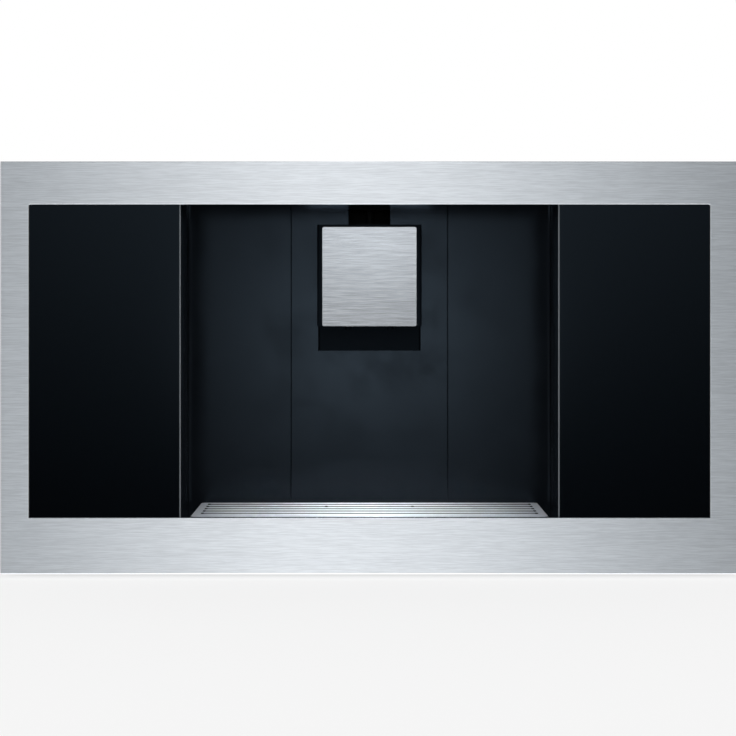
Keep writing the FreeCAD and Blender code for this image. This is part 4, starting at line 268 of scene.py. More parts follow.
class Shading:
    """A node tree with short calls to add and join nodes."""

    def __init__(self, tree):
        self.tree = tree

    def add(self, kind, **settings):
        node = self.tree.nodes.new(kind)
        for key, value in settings.items():
            setattr(node, key, value)
        return node

    def find(self, kind):
        return next(node for node in self.tree.nodes if node.type == kind)

    def join(self, source, target):
        self.tree.links.new(source, target)

    def feed(self, socket, value):
        if isinstance(value, bpy.types.NodeSocket):
            self.join(value, socket)
        else:
            socket.default_value = value

    def where(self, kind):
        """A surface's own coordinates."""
        return self.add("ShaderNodeTexCoord").outputs[kind]

    def split(self, vector):
        node = self.add("ShaderNodeSeparateXYZ")
        self.join(vector, node.inputs[0])
        return node.outputs

    def math(self, operation, first, second=0.0, third=0.0):
        node = self.add("ShaderNodeMath", operation=operation)
        for socket, value in zip(node.inputs, (first, second, third)):
            self.feed(socket, value)
        return node.outputs[0]

    def ramp(self, value, low=0.0, high=1.0, start=0.0, end=1.0):
        """Eases a value from start to end as it goes from low to high."""
        node = self.add("ShaderNodeMapRange", interpolation_type="SMOOTHSTEP")
        settings = {"Value": value, "From Min": low, "From Max": high, "To Min": start, "To Max": end}
        for name, item in settings.items():
            self.feed(node.inputs[name], item)
        return node.outputs[0]

    def lift(self, mask, base, rise):
        """A base value that goes up by rise where the mask is full."""
        return self.math("MULTIPLY_ADD", mask, rise, base)

    def bell(self, value, middle, spread):
        """A soft hump round a middle value."""
        away = self.math("DIVIDE", self.math("SUBTRACT", value, middle), spread)
        return self.math("EXPONENT", self.math("MULTIPLY", self.math("MULTIPLY", away, away), -0.5))

    def blend(self, factor, first, second):
        """Mixes two colours."""
        node = self.add("ShaderNodeMix", data_type="RGBA")
        self.feed(node.inputs[0], factor)
        self.feed(node.inputs[6], first)
        self.feed(node.inputs[7], second)
        return node.outputs[2]

    def shades(self, tone, value, dark, light):
        """Goes from a darker to a lighter shade of one colour as the tone rises."""
        return self.blend(tone, rgba(value, dark), rgba(value, light))

    def noise(self, vector, scale, detail=2.0, roughness=0.5):
        node = self.add("ShaderNodeTexNoise")
        self.join(vector, node.inputs["Vector"])
        self.feed(node.inputs["Scale"], scale)
        node.inputs["Detail"].default_value = detail
        node.inputs["Roughness"].default_value = roughness
        return node.outputs["Fac"]

    def place(self, group, **values):
        """Puts a shared node group into this tree."""
        node = self.add("ShaderNodeGroup", node_tree=group)
        for name, value in values.items():
            self.feed(node.inputs[name], value)
        return node


def new_group(name, inputs, outputs):
    tree = bpy.data.node_groups.new(name, "ShaderNodeTree")
    for title, value in inputs.items():
        socket = tree.interface.new_socket(title, in_out="INPUT", socket_type="NodeSocketFloat")
        socket.default_value = value
    for title in outputs:
        tree.interface.new_socket(title, in_out="OUTPUT", socket_type="NodeSocketFloat")
    shading = Shading(tree)
    return shading, shading.add("NodeGroupInput").outputs, shading.add("NodeGroupOutput").inputs


def shared_group(name, build):
    found = bpy.data.node_groups.get(name)
    return found if found else build(name)


def brushed_grain(name):
    """Fine parallel lines along X, with broader streaks."""
    inputs = {"Line": sizes().brush_line, "Length": sizes().brush_length}
    shading, given, out = new_group(name, inputs, ("Tone", "Height"))
    across = shading.math("DIVIDE", 1.0, given["Line"])
    along = shading.math("DIVIDE", 1.0, given["Length"])
    scale = shading.add("ShaderNodeCombineXYZ")
    for socket, value in zip(scale.inputs, (along, across, across)):
        shading.join(value, socket)
    stretched = shading.add("ShaderNodeVectorMath", operation="MULTIPLY")
    shading.join(shading.where("Object"), stretched.inputs[0])
    shading.join(scale.outputs[0], stretched.inputs[1])
    fine = shading.noise(stretched.outputs[0], 1.0, detail=3.0, roughness=0.6)
    broad = shading.noise(stretched.outputs[0], BROAD_SCALE_SHARE)
    fine_share = shading.math("MULTIPLY", fine, 1.0 - BROAD_STREAK_SHARE)
    shading.join(shading.lift(broad, fine_share, BROAD_STREAK_SHARE), out["Tone"])
    shading.join(fine, out["Height"])
    return shading.tree


def moulded_skin(name):
    """Fine pebbled grain of a moulded plastic skin."""
    shading, given, out = new_group(name, {"Grain": sizes().skin_grain}, ("Tone", "Height"))
    place = shading.where("Object")
    scale = shading.math("DIVIDE", 1.0, given["Grain"])
    cells = shading.add("ShaderNodeTexVoronoi", feature="SMOOTH_F1")
    shading.join(place, cells.inputs["Vector"])
    shading.join(scale, cells.inputs["Scale"])
    clouds = shading.noise(place, shading.math("MULTIPLY", scale, CLOUD_SCALE_SHARE), detail=3.0)
    shading.join(clouds, out["Tone"])
    shading.join(cells.outputs["Distance"], out["Height"])
    return shading.tree


def wiping_marks(name):
    """Soft uneven patches left by wiping and dust."""
    shading, given, out = new_group(name, {"Size": sizes().smear}, ("Mask",))
    scale = shading.math("DIVIDE", 1.0, given["Size"])
    broad = shading.noise(shading.where("Object"), scale, detail=4.0, roughness=0.6)
    shading.join(shading.ramp(broad, **PATCH_TONES), out["Mask"])
    return shading.tree


def zinc_spangle(name):
    """Crystal patches of galvanised sheet."""
    shading, given, out = new_group(name, {"Size": sizes().spangle}, ("Tone", "Height"))
    place = shading.where("Object")
    scale = shading.math("DIVIDE", 1.0, given["Size"])
    wobble = shading.add("ShaderNodeTexNoise")
    shading.join(place, wobble.inputs["Vector"])
    shading.join(scale, wobble.inputs["Scale"])
    bent = shading.add("ShaderNodeVectorMath", operation="MULTIPLY_ADD")
    shading.join(wobble.outputs["Color"], bent.inputs[0])
    bent.inputs[1].default_value = (SPANGLE_WOBBLE,) * 3
    shading.join(place, bent.inputs[2])
    cells = shading.add("ShaderNodeTexVoronoi")
    shading.join(bent.outputs[0], cells.inputs["Vector"])
    shading.join(scale, cells.inputs["Scale"])
    split = shading.add("ShaderNodeSeparateColor")
    shading.join(cells.outputs["Color"], split.inputs[0])
    shading.join(split.outputs[0], out["Tone"])
    pits = shading.noise(place, shading.math("MULTIPLY", scale, PIT_SCALE_SHARE))
    shading.join(pits, out["Height"])
    return shading.tree


def facing(name):
    """How far a surface faces sideways, to the front and up, in the object's own axes."""
    shading, _, out = new_group(name, {}, ("Side", "Front", "Up"))
    x, y, z = shading.split(shading.where("Normal"))
    shading.join(shading.math("ABSOLUTE", x), out["Side"])
    shading.join(shading.math("ABSOLUTE", y), out["Front"])
    shading.join(z, out["Up"])
    return shading.tree


def grain_node(shading, length_share=1.0):
    line, along = sizes().brush_line, sizes().brush_length * length_share
    return shading.place(shared_group("Brushed grain", brushed_grain), Line=line, Length=along)


def skin_node(shading, grain_share=1.0):
    grain = sizes().skin_grain * grain_share
    return shading.place(shared_group("Moulded skin", moulded_skin), Grain=grain)


def marks_mask(shading, size_share=1.0):
    size = sizes().smear * size_share
    return shading.place(shared_group("Wiping marks", wiping_marks), Size=size).outputs["Mask"]


def facing_node(shading):
    return shading.place(shared_group("Facing", facing))


def new_material(name):
    material = bpy.data.materials.new(name)
    material.use_nodes = True
    material.node_tree.nodes.clear()
    shading = Shading(material.node_tree)
    shader = shading.add("ShaderNodeBsdfPrincipled")
    shading.join(shader.outputs[0], shading.add("ShaderNodeOutputMaterial").inputs["Surface"])
    return material, shading, shader.inputs


def bump(shading, target, height, strength, distance=GRAIN_HEIGHT):
    node = shading.add("ShaderNodeBump")
    node.inputs["Strength"].default_value = strength
    node.inputs["Distance"].default_value = distance
    shading.join(height, node.inputs["Height"])
    shading.join(node.outputs[0], target["Normal"])


def brushed_steel(name, steel, roughness, anisotropy, edge_roughness, contrast, length_share=1.0):
    """Steel brushed along X; edges and folds that turn from the face are polished."""
    material, shading, sockets = new_material(name)
    grain = grain_node(shading, length_share)
    tone = grain.outputs["Tone"]
    flat = shading.ramp(facing_node(shading).outputs["Front"], **TURNED_TO_FRONT)
    lines = shading.ramp(flat, start=MIDDLE_TONE, end=shading.ramp(tone, **GRAIN_TONES))
    base = shading.shades(lines, steel, dark=1.0 - contrast, light=1.0 + contrast)
    shading.join(base, sockets["Base Color"])
    sockets["Metallic"].default_value = 1.0
    sockets["Anisotropic"].default_value = anisotropy
    sockets["Anisotropic Rotation"].default_value = BRUSHED_ALONG_X
    grain_rise = 0.08
    rough = shading.lift(tone, base=roughness - grain_rise / 2, rise=grain_rise)
    rough = shading.lift(marks_mask(shading, size_share=2.0), base=rough, rise=0.015)
    shading.join(shading.ramp(flat, start=edge_roughness, end=rough), sockets["Roughness"])
    tangent = shading.add("ShaderNodeTangent", direction_type="RADIAL", axis="Z")
    shading.join(tangent.outputs[0], sockets["Tangent"])
    bump(shading, sockets, grain.outputs["Height"], strength=0.02)
    return material


def crowned_steel(name, fall):
    """Brushed steel that leans slightly and curves back towards its lower edge."""
    material = brushed_steel(
        name,
        # The plate's darker steel is painted shade
        colours().plate,
        roughness=0.203,
        anisotropy=0.6,
        edge_roughness=0.2,
        contrast=0.2,
        length_share=1.2,
    )
    shading = Shading(material.node_tree)
    lines = shading.find("BUMP")
    height = shading.split(shading.where("Generated"))[2]
    down = shading.math("SUBTRACT", CROWN_TOP_SHARE, height)
    curve = shading.math("MULTIPLY", shading.math("MULTIPLY", down, down), -1.0)
    bump(shading, lines.inputs, curve, strength=1.0, distance=fall)
    return material


def grate_steel(name):
    """Blasted steel slats; the grooves between them are darkened and the drains' walls darkest, painted
    shade in the grate's hollows.
    """
    material, shading, sockets = new_material(name)
    grain = grain_node(shading)
    tone = grain.outputs["Tone"]
    along, _, height = shading.split(shading.where("Generated"))
    up = facing_node(shading).outputs["Up"]
    high = shading.ramp(height, **SLAT_HEIGHT)
    crest = shading.math("MULTIPLY", high, shading.ramp(up, **SLAT_TURNED_UP))
    from_end = shading.math("MINIMUM", along, shading.math("SUBTRACT", 1.0, along))
    inside = shading.ramp(from_end, **DRAIN_FROM_END)
    # Upright walls away from the ends, the drains' walls, get the darkest painted shade
    drain_wall_shade = shading.math("MULTIPLY", inside, shading.ramp(up, **DRAIN_WALL))
    steel, share = colours().grate, sizes().groove_shade_share
    slat = shading.shades(shading.ramp(tone, **GRAIN_TONES), steel, dark=0.92, light=1.08)
    # Groove colour: painted shade between the slats, darker still on the drains' walls
    groove = shading.blend(drain_wall_shade, rgba(steel, share), rgba(steel, share * DRAIN_SHADE_SHARE))
    shading.join(shading.blend(crest, groove, slat), sockets["Base Color"])
    sockets["Metallic"].default_value = GRATE_METAL_SHARE
    shading.join(shading.lift(tone, base=0.36, rise=0.1), sockets["Roughness"])
    bump(shading, sockets, grain.outputs["Height"], strength=0.02)
    return material


def black_glass(name):
    """Back-printed glass; its sideways-facing edge gets a lighter colour, a painted highlight of light
    caught on the edge.
    """
    material, shading, sockets = new_material(name)
    # Sideways-facing edge: lighter colour as a painted highlight, and rougher
    edge = shading.ramp(facing_node(shading).outputs["Side"], **TURNED_ASIDE)
    base = shading.blend(edge, rgba(colours().glass), rgba(colours().glass_edge_highlight))
    shading.join(base, sockets["Base Color"])
    smooth = shading.lift(marks_mask(shading, size_share=1.6), base=0.025, rise=0.02)
    shading.join(shading.ramp(edge, start=smooth, end=GLASS_EDGE_ROUGHNESS), sockets["Roughness"])
    sockets["IOR"].default_value = GLASS_INDEX
    sockets["Specular Tint"].default_value = rgba(colours().sheen)
    return material


def moulded(name, value, roughness, grain_share=1.0, depth=0.25, dust=0.06, shine=0.5, tint=WHITE):
    """Moulded plastic with a fine skin and slight dust."""
    material, shading, sockets = new_material(name)
    skin = skin_node(shading, grain_share)
    tone = skin.outputs["Tone"]
    marks = marks_mask(shading)
    base = shading.shades(tone, value, dark=1.0 - SKIN_VARIATION, light=1.0 + SKIN_VARIATION)
    dusty = shading.blend(shading.math("MULTIPLY", marks, dust), base, grey(DUST_LEVEL))
    shading.join(dusty, sockets["Base Color"])
    rough = shading.lift(marks, base=roughness - SKIN_POLISH, rise=0.06)
    shading.join(shading.lift(tone, base=rough, rise=0.05), sockets["Roughness"])
    sockets["IOR"].default_value = PLASTIC_INDEX
    sockets["Specular IOR Level"].default_value = shine
    sockets["Specular Tint"].default_value = rgba(tint)
    bump(shading, sockets, skin.outputs["Height"], depth)
    return material


def galvanised(name):
    """Zinc-coated sheet with its crystal patches."""
    material, shading, sockets = new_material(name)
    zinc = shading.place(shared_group("Zinc spangle", zinc_spangle), Size=sizes().spangle)
    tone = zinc.outputs["Tone"]
    base = shading.shades(tone, colours().sheet, dark=0.82, light=1.15)
    shading.join(base, sockets["Base Color"])
    sockets["Metallic"].default_value = 1.0
    rough = shading.lift(tone, base=0.34, rise=0.14)
    rough = shading.lift(marks_mask(shading, size_share=2.0), base=rough, rise=0.08)
    shading.join(rough, sockets["Roughness"])
    bump(shading, sockets, zinc.outputs["Height"], strength=0.12, distance=ZINC_HEIGHT)
    return material


def plated(name, value, roughness):
    """Ground or cast metal with fine marks."""
    material, shading, sockets = new_material(name)
    skin = skin_node(shading, grain_share=0.8)
    base = shading.shades(marks_mask(shading, size_share=0.5), value, dark=0.85, light=1.08)
    shading.join(base, sockets["Base Color"])
    sockets["Metallic"].default_value = 1.0
    skin_rise = 0.14
    rough = shading.lift(skin.outputs["Tone"], base=roughness - skin_rise / 2, rise=skin_rise)
    shading.join(rough, sockets["Roughness"])
    bump(shading, sockets, skin.outputs["Height"], strength=0.05)
    return material


def see_through(name, value, alpha, roughness):
    """Clear moulded plastic that lets the background through."""
    material, shading, sockets = new_material(name)
    marks = marks_mask(shading, size_share=0.8)
    base = shading.shades(marks, value, dark=0.94, light=1.04)
    shading.join(base, sockets["Base Color"])
    shading.join(shading.lift(marks, base=roughness, rise=0.08), sockets["Roughness"])
    shading.join(shading.lift(marks, base=alpha, rise=0.08), sockets["Alpha"])
    sockets["IOR"].default_value = CLEAR_INDEX
    bump(shading, sockets, skin_node(shading).outputs["Height"], strength=0.03)
    return material


def circuit_board(name):
    """Solder resist with faint tracks under it."""
    material, shading, sockets = new_material(name)
    tracks = shading.add("ShaderNodeTexBrick")
    shading.join(shading.where("Object"), tracks.inputs["Vector"])
    tracks.inputs["Scale"].default_value = TRACK_SCALE
    tracks.inputs["Mortar Size"].default_value = TRACK_GAP_SHARE
    for socket, share in (("Color1", 1.0), ("Color2", 0.75), ("Mortar", 1.9)):
        tracks.inputs[socket].default_value = rgba(colours().board, share)
    shading.join(tracks.outputs["Color"], sockets["Base Color"])
    rough = shading.lift(skin_node(shading).outputs["Tone"], base=0.3, rise=0.1)
    shading.join(rough, sockets["Roughness"])
    bump(shading, sockets, tracks.outputs["Fac"], strength=0.2, distance=TRACK_HEIGHT)
    return material


def frosted_lens(name):
    """Lamp lens with a soft glow."""
    material, shading, sockets = new_material(name)
    skin = skin_node(shading, grain_share=0.5)
    base = shading.shades(skin.outputs["Tone"], colours().lens, dark=0.94, light=1.0)
    shading.join(base, sockets["Base Color"])
    shading.join(base, sockets["Emission Color"])
    sockets["Emission Strength"].default_value = LENS_GLOW
    sockets["Roughness"].default_value = LENS_ROUGHNESS
    bump(shading, sockets, skin.outputs["Height"], strength=0.2)
    return material


def dress(material, *nodes):
    """Gives CAD pieces one finish."""
    for node in nodes:
        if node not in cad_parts:
            raise RuntimeError("no piece is called " + node)
        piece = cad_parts[node]
        piece.data.materials.clear()
        piece.data.materials.append(material)


def new_piece(name, mesh, body, material):
    """Puts a new mesh on a body, with its finish."""
    piece = bpy.data.objects.new(name, mesh)
    bpy.context.scene.collection.objects.link(piece)
    piece.data.materials.append(material)
    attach(piece, body)
    return piece


def mesh_from(name, shape, smooth=True):
    mesh = bpy.data.meshes.new(name)
    bmesh.ops.recalc_face_normals(shape, faces=shape.faces)
    shape.to_mesh(mesh)
    shape.free()
    for face in mesh.polygons:
        face.use_smooth = smooth
    return mesh


def bridge(shape, lower, upper):
    """Joins two closed rings of points with a band of faces."""
    for index in range(len(lower)):
        after = (index + 1) % len(lower)
        shape.faces.new((lower[index], lower[after], upper[after], upper[index]))


def rounded_loop(x0, x1, z0, z1, radius, steps=6):
    """Corner-rounded rectangle as points in the XZ plane, in order."""
    corners = (
        (x1 - radius, z1 - radius),
        (x0 + radius, z1 - radius),
        (x0 + radius, z0 + radius),
        (x1 - radius, z0 + radius),
    )
    points = []
    for quarter, (x, z) in enumerate(corners):
        for step in range(steps + 1):
            angle = (quarter + step / steps) * math.pi / 2
            points.append((x + radius * math.cos(angle), z + radius * math.sin(angle)))
    return points


class DressSteelFront(bpy.types.Operator):
    """Brushed steel on the front frame, the spout's face and the grate"""

    bl_idname = "coffee_maker.steel_front"
    bl_label = "Steel front"

    def execute(self, context):
        front = brushed_steel(
            "Brushed steel front",
            colours().steel,
            roughness=0.4,
            anisotropy=0.92,
            edge_roughness=0.14,
            contrast=0.1,
        )
        dress(front, "door_frame")
        dress(crowned_steel("Brushed steel spout face", sizes().crown), "spout_plate")
        dress(grate_steel("Blasted steel grate"), "drip_grate")
        return {"FINISHED"}


class DressGlass(bpy.types.Operator):
    """Black glass panels of the door"""

    bl_idname = "coffee_maker.glass"
    bl_label = "Door glass"

    def execute(self, context):
        dress(black_glass("Black printed glass"), "glass_left", "glass_right")
        return {"FINISHED"}


class DressNiche(bpy.types.Operator):
    """Lining, centre panel and lamp of the cup niche"""

    bl_idname = "coffee_maker.niche"
    bl_label = "Cup niche"

    def execute(self, context):
        satin = moulded(
            "Niche satin black",
            colours().niche,
            roughness=0.14,
            grain_share=0.6,
            depth=0.01,
            dust=0.005,
            shine=0.3,
            tint=colours().sheen,
        )
        dress(satin, "niche_liner", "niche_centre_panel")
        dress(frosted_lens("Frosted lamp lens"), "niche_light")
        return {"FINISHED"}


class DressSpout(bpy.types.Operator):
    """Casing, nozzles, frother, carriage and guides of the spout"""

    bl_idname = "coffee_maker.spout"
    bl_label = "Spout"

    def execute(self, context):
        satin = moulded(
            "Spout satin black",
            colours().lining,
            roughness=0.45,
            grain_share=0.5,
            depth=0.03,
            dust=0.005,
            shine=0.15,
            tint=colours().sheen,
        )
        dress(satin, "spout_housing", "coffee_nozzles")
        black = toned(colours().moulding, share=0.1)
        guide = moulded("Guide matt black", black, roughness=0.7, dust=0.0, shine=0.1)
        dress(guide, "spout_carriage", "guide_housing", "guide_rods", "feed_tube")
        dress(moulded("Frother grey", colours().grey, roughness=0.4), "milk_frother")
        return {"FINISHED"}


class DressTray(bpy.types.Operator):
    """Drip tray and its level float"""

    bl_idname = "coffee_maker.tray"
    bl_label = "Drip tray"

    def execute(self, context):
        tub = moulded("Tray polished black", colours().gloss, roughness=0.24, grain_share=0.8, depth=0.05)
        dress(tub, "drip_tray")
        dress(moulded("Float red", colours().lever, roughness=0.42), "tray_float")
        return {"FINISHED"}


class DressDoor(bpy.types.Operator):
    """Inner door, fascia, hinges, stops, catches, touch board and rocker"""

    bl_idname = "coffee_maker.door"
    bl_label = "Inner door and fascia"

    def execute(self, context):
        black = moulded("Door moulded black", colours().lining, roughness=0.5, dust=0.01, shine=0.3)
        dress(black, "door_carrier", "door_inner_panel", "fascia")
        steel = plated("Hinge plated steel", colours().plated, roughness=0.28)
        dress(steel, "hinge_blocks", "hinge_brackets", "door_screws")
        rubber = moulded("Stop rubber", colours().rubber, roughness=0.7, grain_share=1.4, depth=0.4)
        dress(rubber, "door_bumpers")
        dress(plated("Magnet ferrite", colours().ferrite, roughness=0.5), "door_magnets")
        dress(circuit_board("Touch board resist"), "touch_board")
        rocker = moulded("Rocker black", colours().gloss, roughness=0.2, grain_share=0.8, depth=0.04)
        dress(rocker, "mains_switch")
        return {"FINISHED"}


class DressCasing(bpy.types.Operator):
    """Galvanised casing, screws, feet and mains inlet"""

    bl_idname = "coffee_maker.casing"
    bl_label = "Casing"

    def execute(self, context):
        sheet = galvanised("Galvanised sheet")
        dress(sheet, "base_pan", "top_panel", "side_panel_left", "side_panel_right", "rear_cover")
        dress(plated("Screw steel", colours().plated, roughness=0.3), "case_screws")
        rubber = moulded("Foot rubber", colours().rubber, roughness=0.75, grain_share=1.5, depth=0.4)
        dress(rubber, "feet")
        dress(moulded("Inlet black", colours().moulding, roughness=0.4), "mains_inlet")
        return {"FINISHED"}


class DressWater(bpy.types.Operator):
    """Water tank, its bay, pump, heater and hoses"""

    bl_idname = "coffee_maker.water"
    bl_label = "Water works"

    def execute(self, context):
        dress(see_through("Clear tank", colours().clear, alpha=0.24, roughness=0.06), "water_tank")
        dress(see_through("Tank lid smoked", colours().smoked, alpha=0.72, roughness=0.12), "tank_lid")
        dress(moulded("Tank bay black", colours().moulding, roughness=0.5), "tank_bay", "tank_dock")
        dress(moulded("Valve grey", colours().grey, roughness=0.4), "tank_valve")
        dress(plated("Pump steel", colours().plated, roughness=0.35), "pump")
        rubber = moulded("Cradle rubber", colours().rubber, roughness=0.7, grain_share=1.4, depth=0.4)
        dress(rubber, "pump_cradle")
        dress(plated("Heater cast alloy", colours().alloy, roughness=0.42), "heater")
        dress(moulded("Hose silicone", colours().silicone, roughness=0.45, depth=0.05), "water_hoses")
        return {"FINISHED"}


class DressBrew(bpy.types.Operator):
    """Brew unit, its bay and the grounds container"""

    bl_idname = "coffee_maker.brew"
    bl_label = "Brew unit"

    def execute(self, context):
        black = moulded("Brew bay black", colours().moulding, roughness=0.5)
        dress(black, "brew_bay", "grounds_container")
        dress(moulded("Cassette grey", colours().grey, roughness=0.42), "brew_frame", "brew_piston")
        dark = toned(colours().grey, share=0.45)
        dress(moulded("Chamber dark grey", dark, roughness=0.36), "brew_chamber")
        steel = plated("Brew steel", colours().plated, roughness=0.26)
        dress(steel, "brew_sieve", "brew_spindle", "brew_motor")
        dress(moulded("Lever red", colours().lever, roughness=0.36, grain_share=0.8), "lock_lever")
        return {"FINISHED"}


class DressBeans(bpy.types.Operator):
    """Bean drawer, grinder and control board"""

    bl_idname = "coffee_maker.beans"
    bl_label = "Beans and grinder"

    def execute(self, context):
        dress(moulded("Shelf black", colours().moulding, roughness=0.5), "bean_shelf")
        dress(see_through("Drawer smoked", colours().smoked, alpha=0.78, roughness=0.1), "bean_drawer")
        steel = plated("Grinder steel", colours().plated, roughness=0.34)
        dress(steel, "grinder_motor", "lower_burr", "upper_burr")
        dress(moulded("Grinder grey", colours().grey, roughness=0.45), "grinder_housing")
        dress(circuit_board("Control board resist"), "control_board")
        return {"FINISHED"}


class AddDoorSeal(bpy.types.Operator):
    """Rubber bead round the niche opening on the back of the door"""

    bl_idname = "coffee_maker.door_seal"
    bl_label = "Door seal"

    def execute(self, context):
        _, panel_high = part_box("door_inner_panel")
        glass_low, glass_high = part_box("glass_right")
        margin, radius = sizes().seal_margin, sizes().seal_radius
        half = glass_low.x + margin
        y = panel_high.y + radius * SEAL_PROUD_SHARE
        loop = rounded_loop(-half, half, glass_low.z - margin / 2, glass_high.z + margin / 2, margin)
        curve = bpy.data.curves.new("door_seal_path", "CURVE")
        curve.dimensions = "3D"
        curve.bevel_depth = radius
        curve.bevel_resolution = SEAL_ROUNDNESS
        spline = curve.splines.new("POLY")
        spline.points.add(len(loop) - 1)
        for item, (x, z) in zip(spline.points, loop):
            item.co = (x, y, z, 1.0)
        spline.use_cyclic_u = True
        helper = bpy.data.objects.new("door_seal_helper", curve)
        mesh = bpy.data.meshes.new_from_object(helper)
        mesh.name = "door_seal"
        bpy.data.objects.remove(helper)
        bpy.data.curves.remove(curve)
        mesh.materials.clear()
        rubber = moulded("Seal rubber", colours().rubber, roughness=0.62, grain_share=1.2, depth=0.3)
        new_piece("door_seal", mesh, "door", rubber)
        return {"FINISHED"}


class AddDoorPads(bpy.types.Operator):
    """Raised pads on the back of the door, behind the two glass panels"""

    bl_idname = "coffee_maker.door_pads"
    bl_label = "Inner door pads"

    def execute(self, context):
        _, panel_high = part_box("door_inner_panel")
        glass_low, glass_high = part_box("glass_right")
        margin, height = sizes().pad_margin, sizes().pad_height
        z0, z1 = glass_low.z + margin, glass_high.z - margin
        shape = bmesh.new()
        for side in (-1, 1):
            inner, outer = side * (glass_low.x + margin), side * (glass_high.x - margin)
            x0, x1 = min(inner, outer), max(inner, outer)
            outline = rounded_loop(x0, x1, z0, z1, margin / 2)
            inset = rounded_loop(x0 + height, x1 - height, z0 + height, z1 - height, margin / 2 - height)
            foot = [shape.verts.new((x, panel_high.y, z)) for x, z in outline]
            crown = [shape.verts.new((x, panel_high.y + height, z)) for x, z in inset]
            bridge(shape, foot, crown)
            shape.faces.new(crown)
            shape.faces.new(foot)
        black = toned(colours().moulding, share=1.15)
        material = moulded("Pad ribbed black", black, roughness=0.42, grain_share=1.5, depth=0.3)
        new_piece("door_pads", mesh_from("door_pads", shape, False), "door", material)
        return {"FINISHED"}


class ThreadLeadScrew(bpy.types.Operator):
    """Threaded lead screw in place of the plain rod"""

    bl_idname = "coffee_maker.lead_screw"
    bl_label = "Lead screw thread"

    def execute(self, context):
        shape = bmesh.new()
        rings = [self.ring(shape, *station) for station in self.stations()]
        for lower, upper in zip(rings, rings[1:]):
            bridge(shape, lower, upper)
        shape.faces.new(list(reversed(rings[0])))
        shape.faces.new(rings[-1])
        steel = plated("Lead screw steel", colours().plated, roughness=0.24)
        piece = new_piece(
            "lead_screw", mesh_from("lead_screw", shape), "brew_screw", steel
        )
        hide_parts("brew_spindle")
        return {"FINISHED"}

    def stations(self):
        """Height, radius and thread depth of each ring, from the lower end up."""
        low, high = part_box("brew_spindle")
        frame_low, frame_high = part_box("brew_frame")
        collar = (high.x - low.x) / 2
        rod = collar * ROD_SHARE
        collar_z0, collar_z1 = frame_low.z + COLLAR_START, frame_low.z + COLLAR_END
        start, end = collar_z1 + THREAD_GAP, frame_high.z - THREAD_TOP_GAP
        rows = [(low.z, rod, 0.0), (collar_z0, rod, 0.0), (collar_z0, collar, 0.0)]
        rows += [(collar_z1, collar, 0.0), (collar_z1, rod, 0.0)]
        steps = int((end - start) / sizes().thread_pitch * RINGS_PER_TURN)
        for index in range(steps + 1):
            rows.append((start + (end - start) * index / steps, rod, sizes().thread_depth))
        return rows + [(end + THREAD_RUNOUT, rod, 0.0), (high.z, rod, 0.0)]

    def ring(self, shape, z, reach, depth):
        """One ring of points, drawn in where the thread's groove passes."""
        low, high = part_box("brew_spindle")
        axis_x, axis_y = (low.x + high.x) / 2, (low.y + high.y) / 2
        points = []
        for step in range(sizes().thread_steps):
            share = step / sizes().thread_steps
            phase = (z / sizes().thread_pitch - share) % 1.0
            groove = (GROOVE_HALF_SHARE - abs(phase - 0.5)) / FLANK_SHARE
            radius = reach - depth * max(0.0, min(1.0, groove))
            angle = share * 2 * math.pi
            x, y = axis_x + radius * math.cos(angle), axis_y + radius * math.sin(angle)
            points.append(shape.verts.new((x, y, z)))
        return points


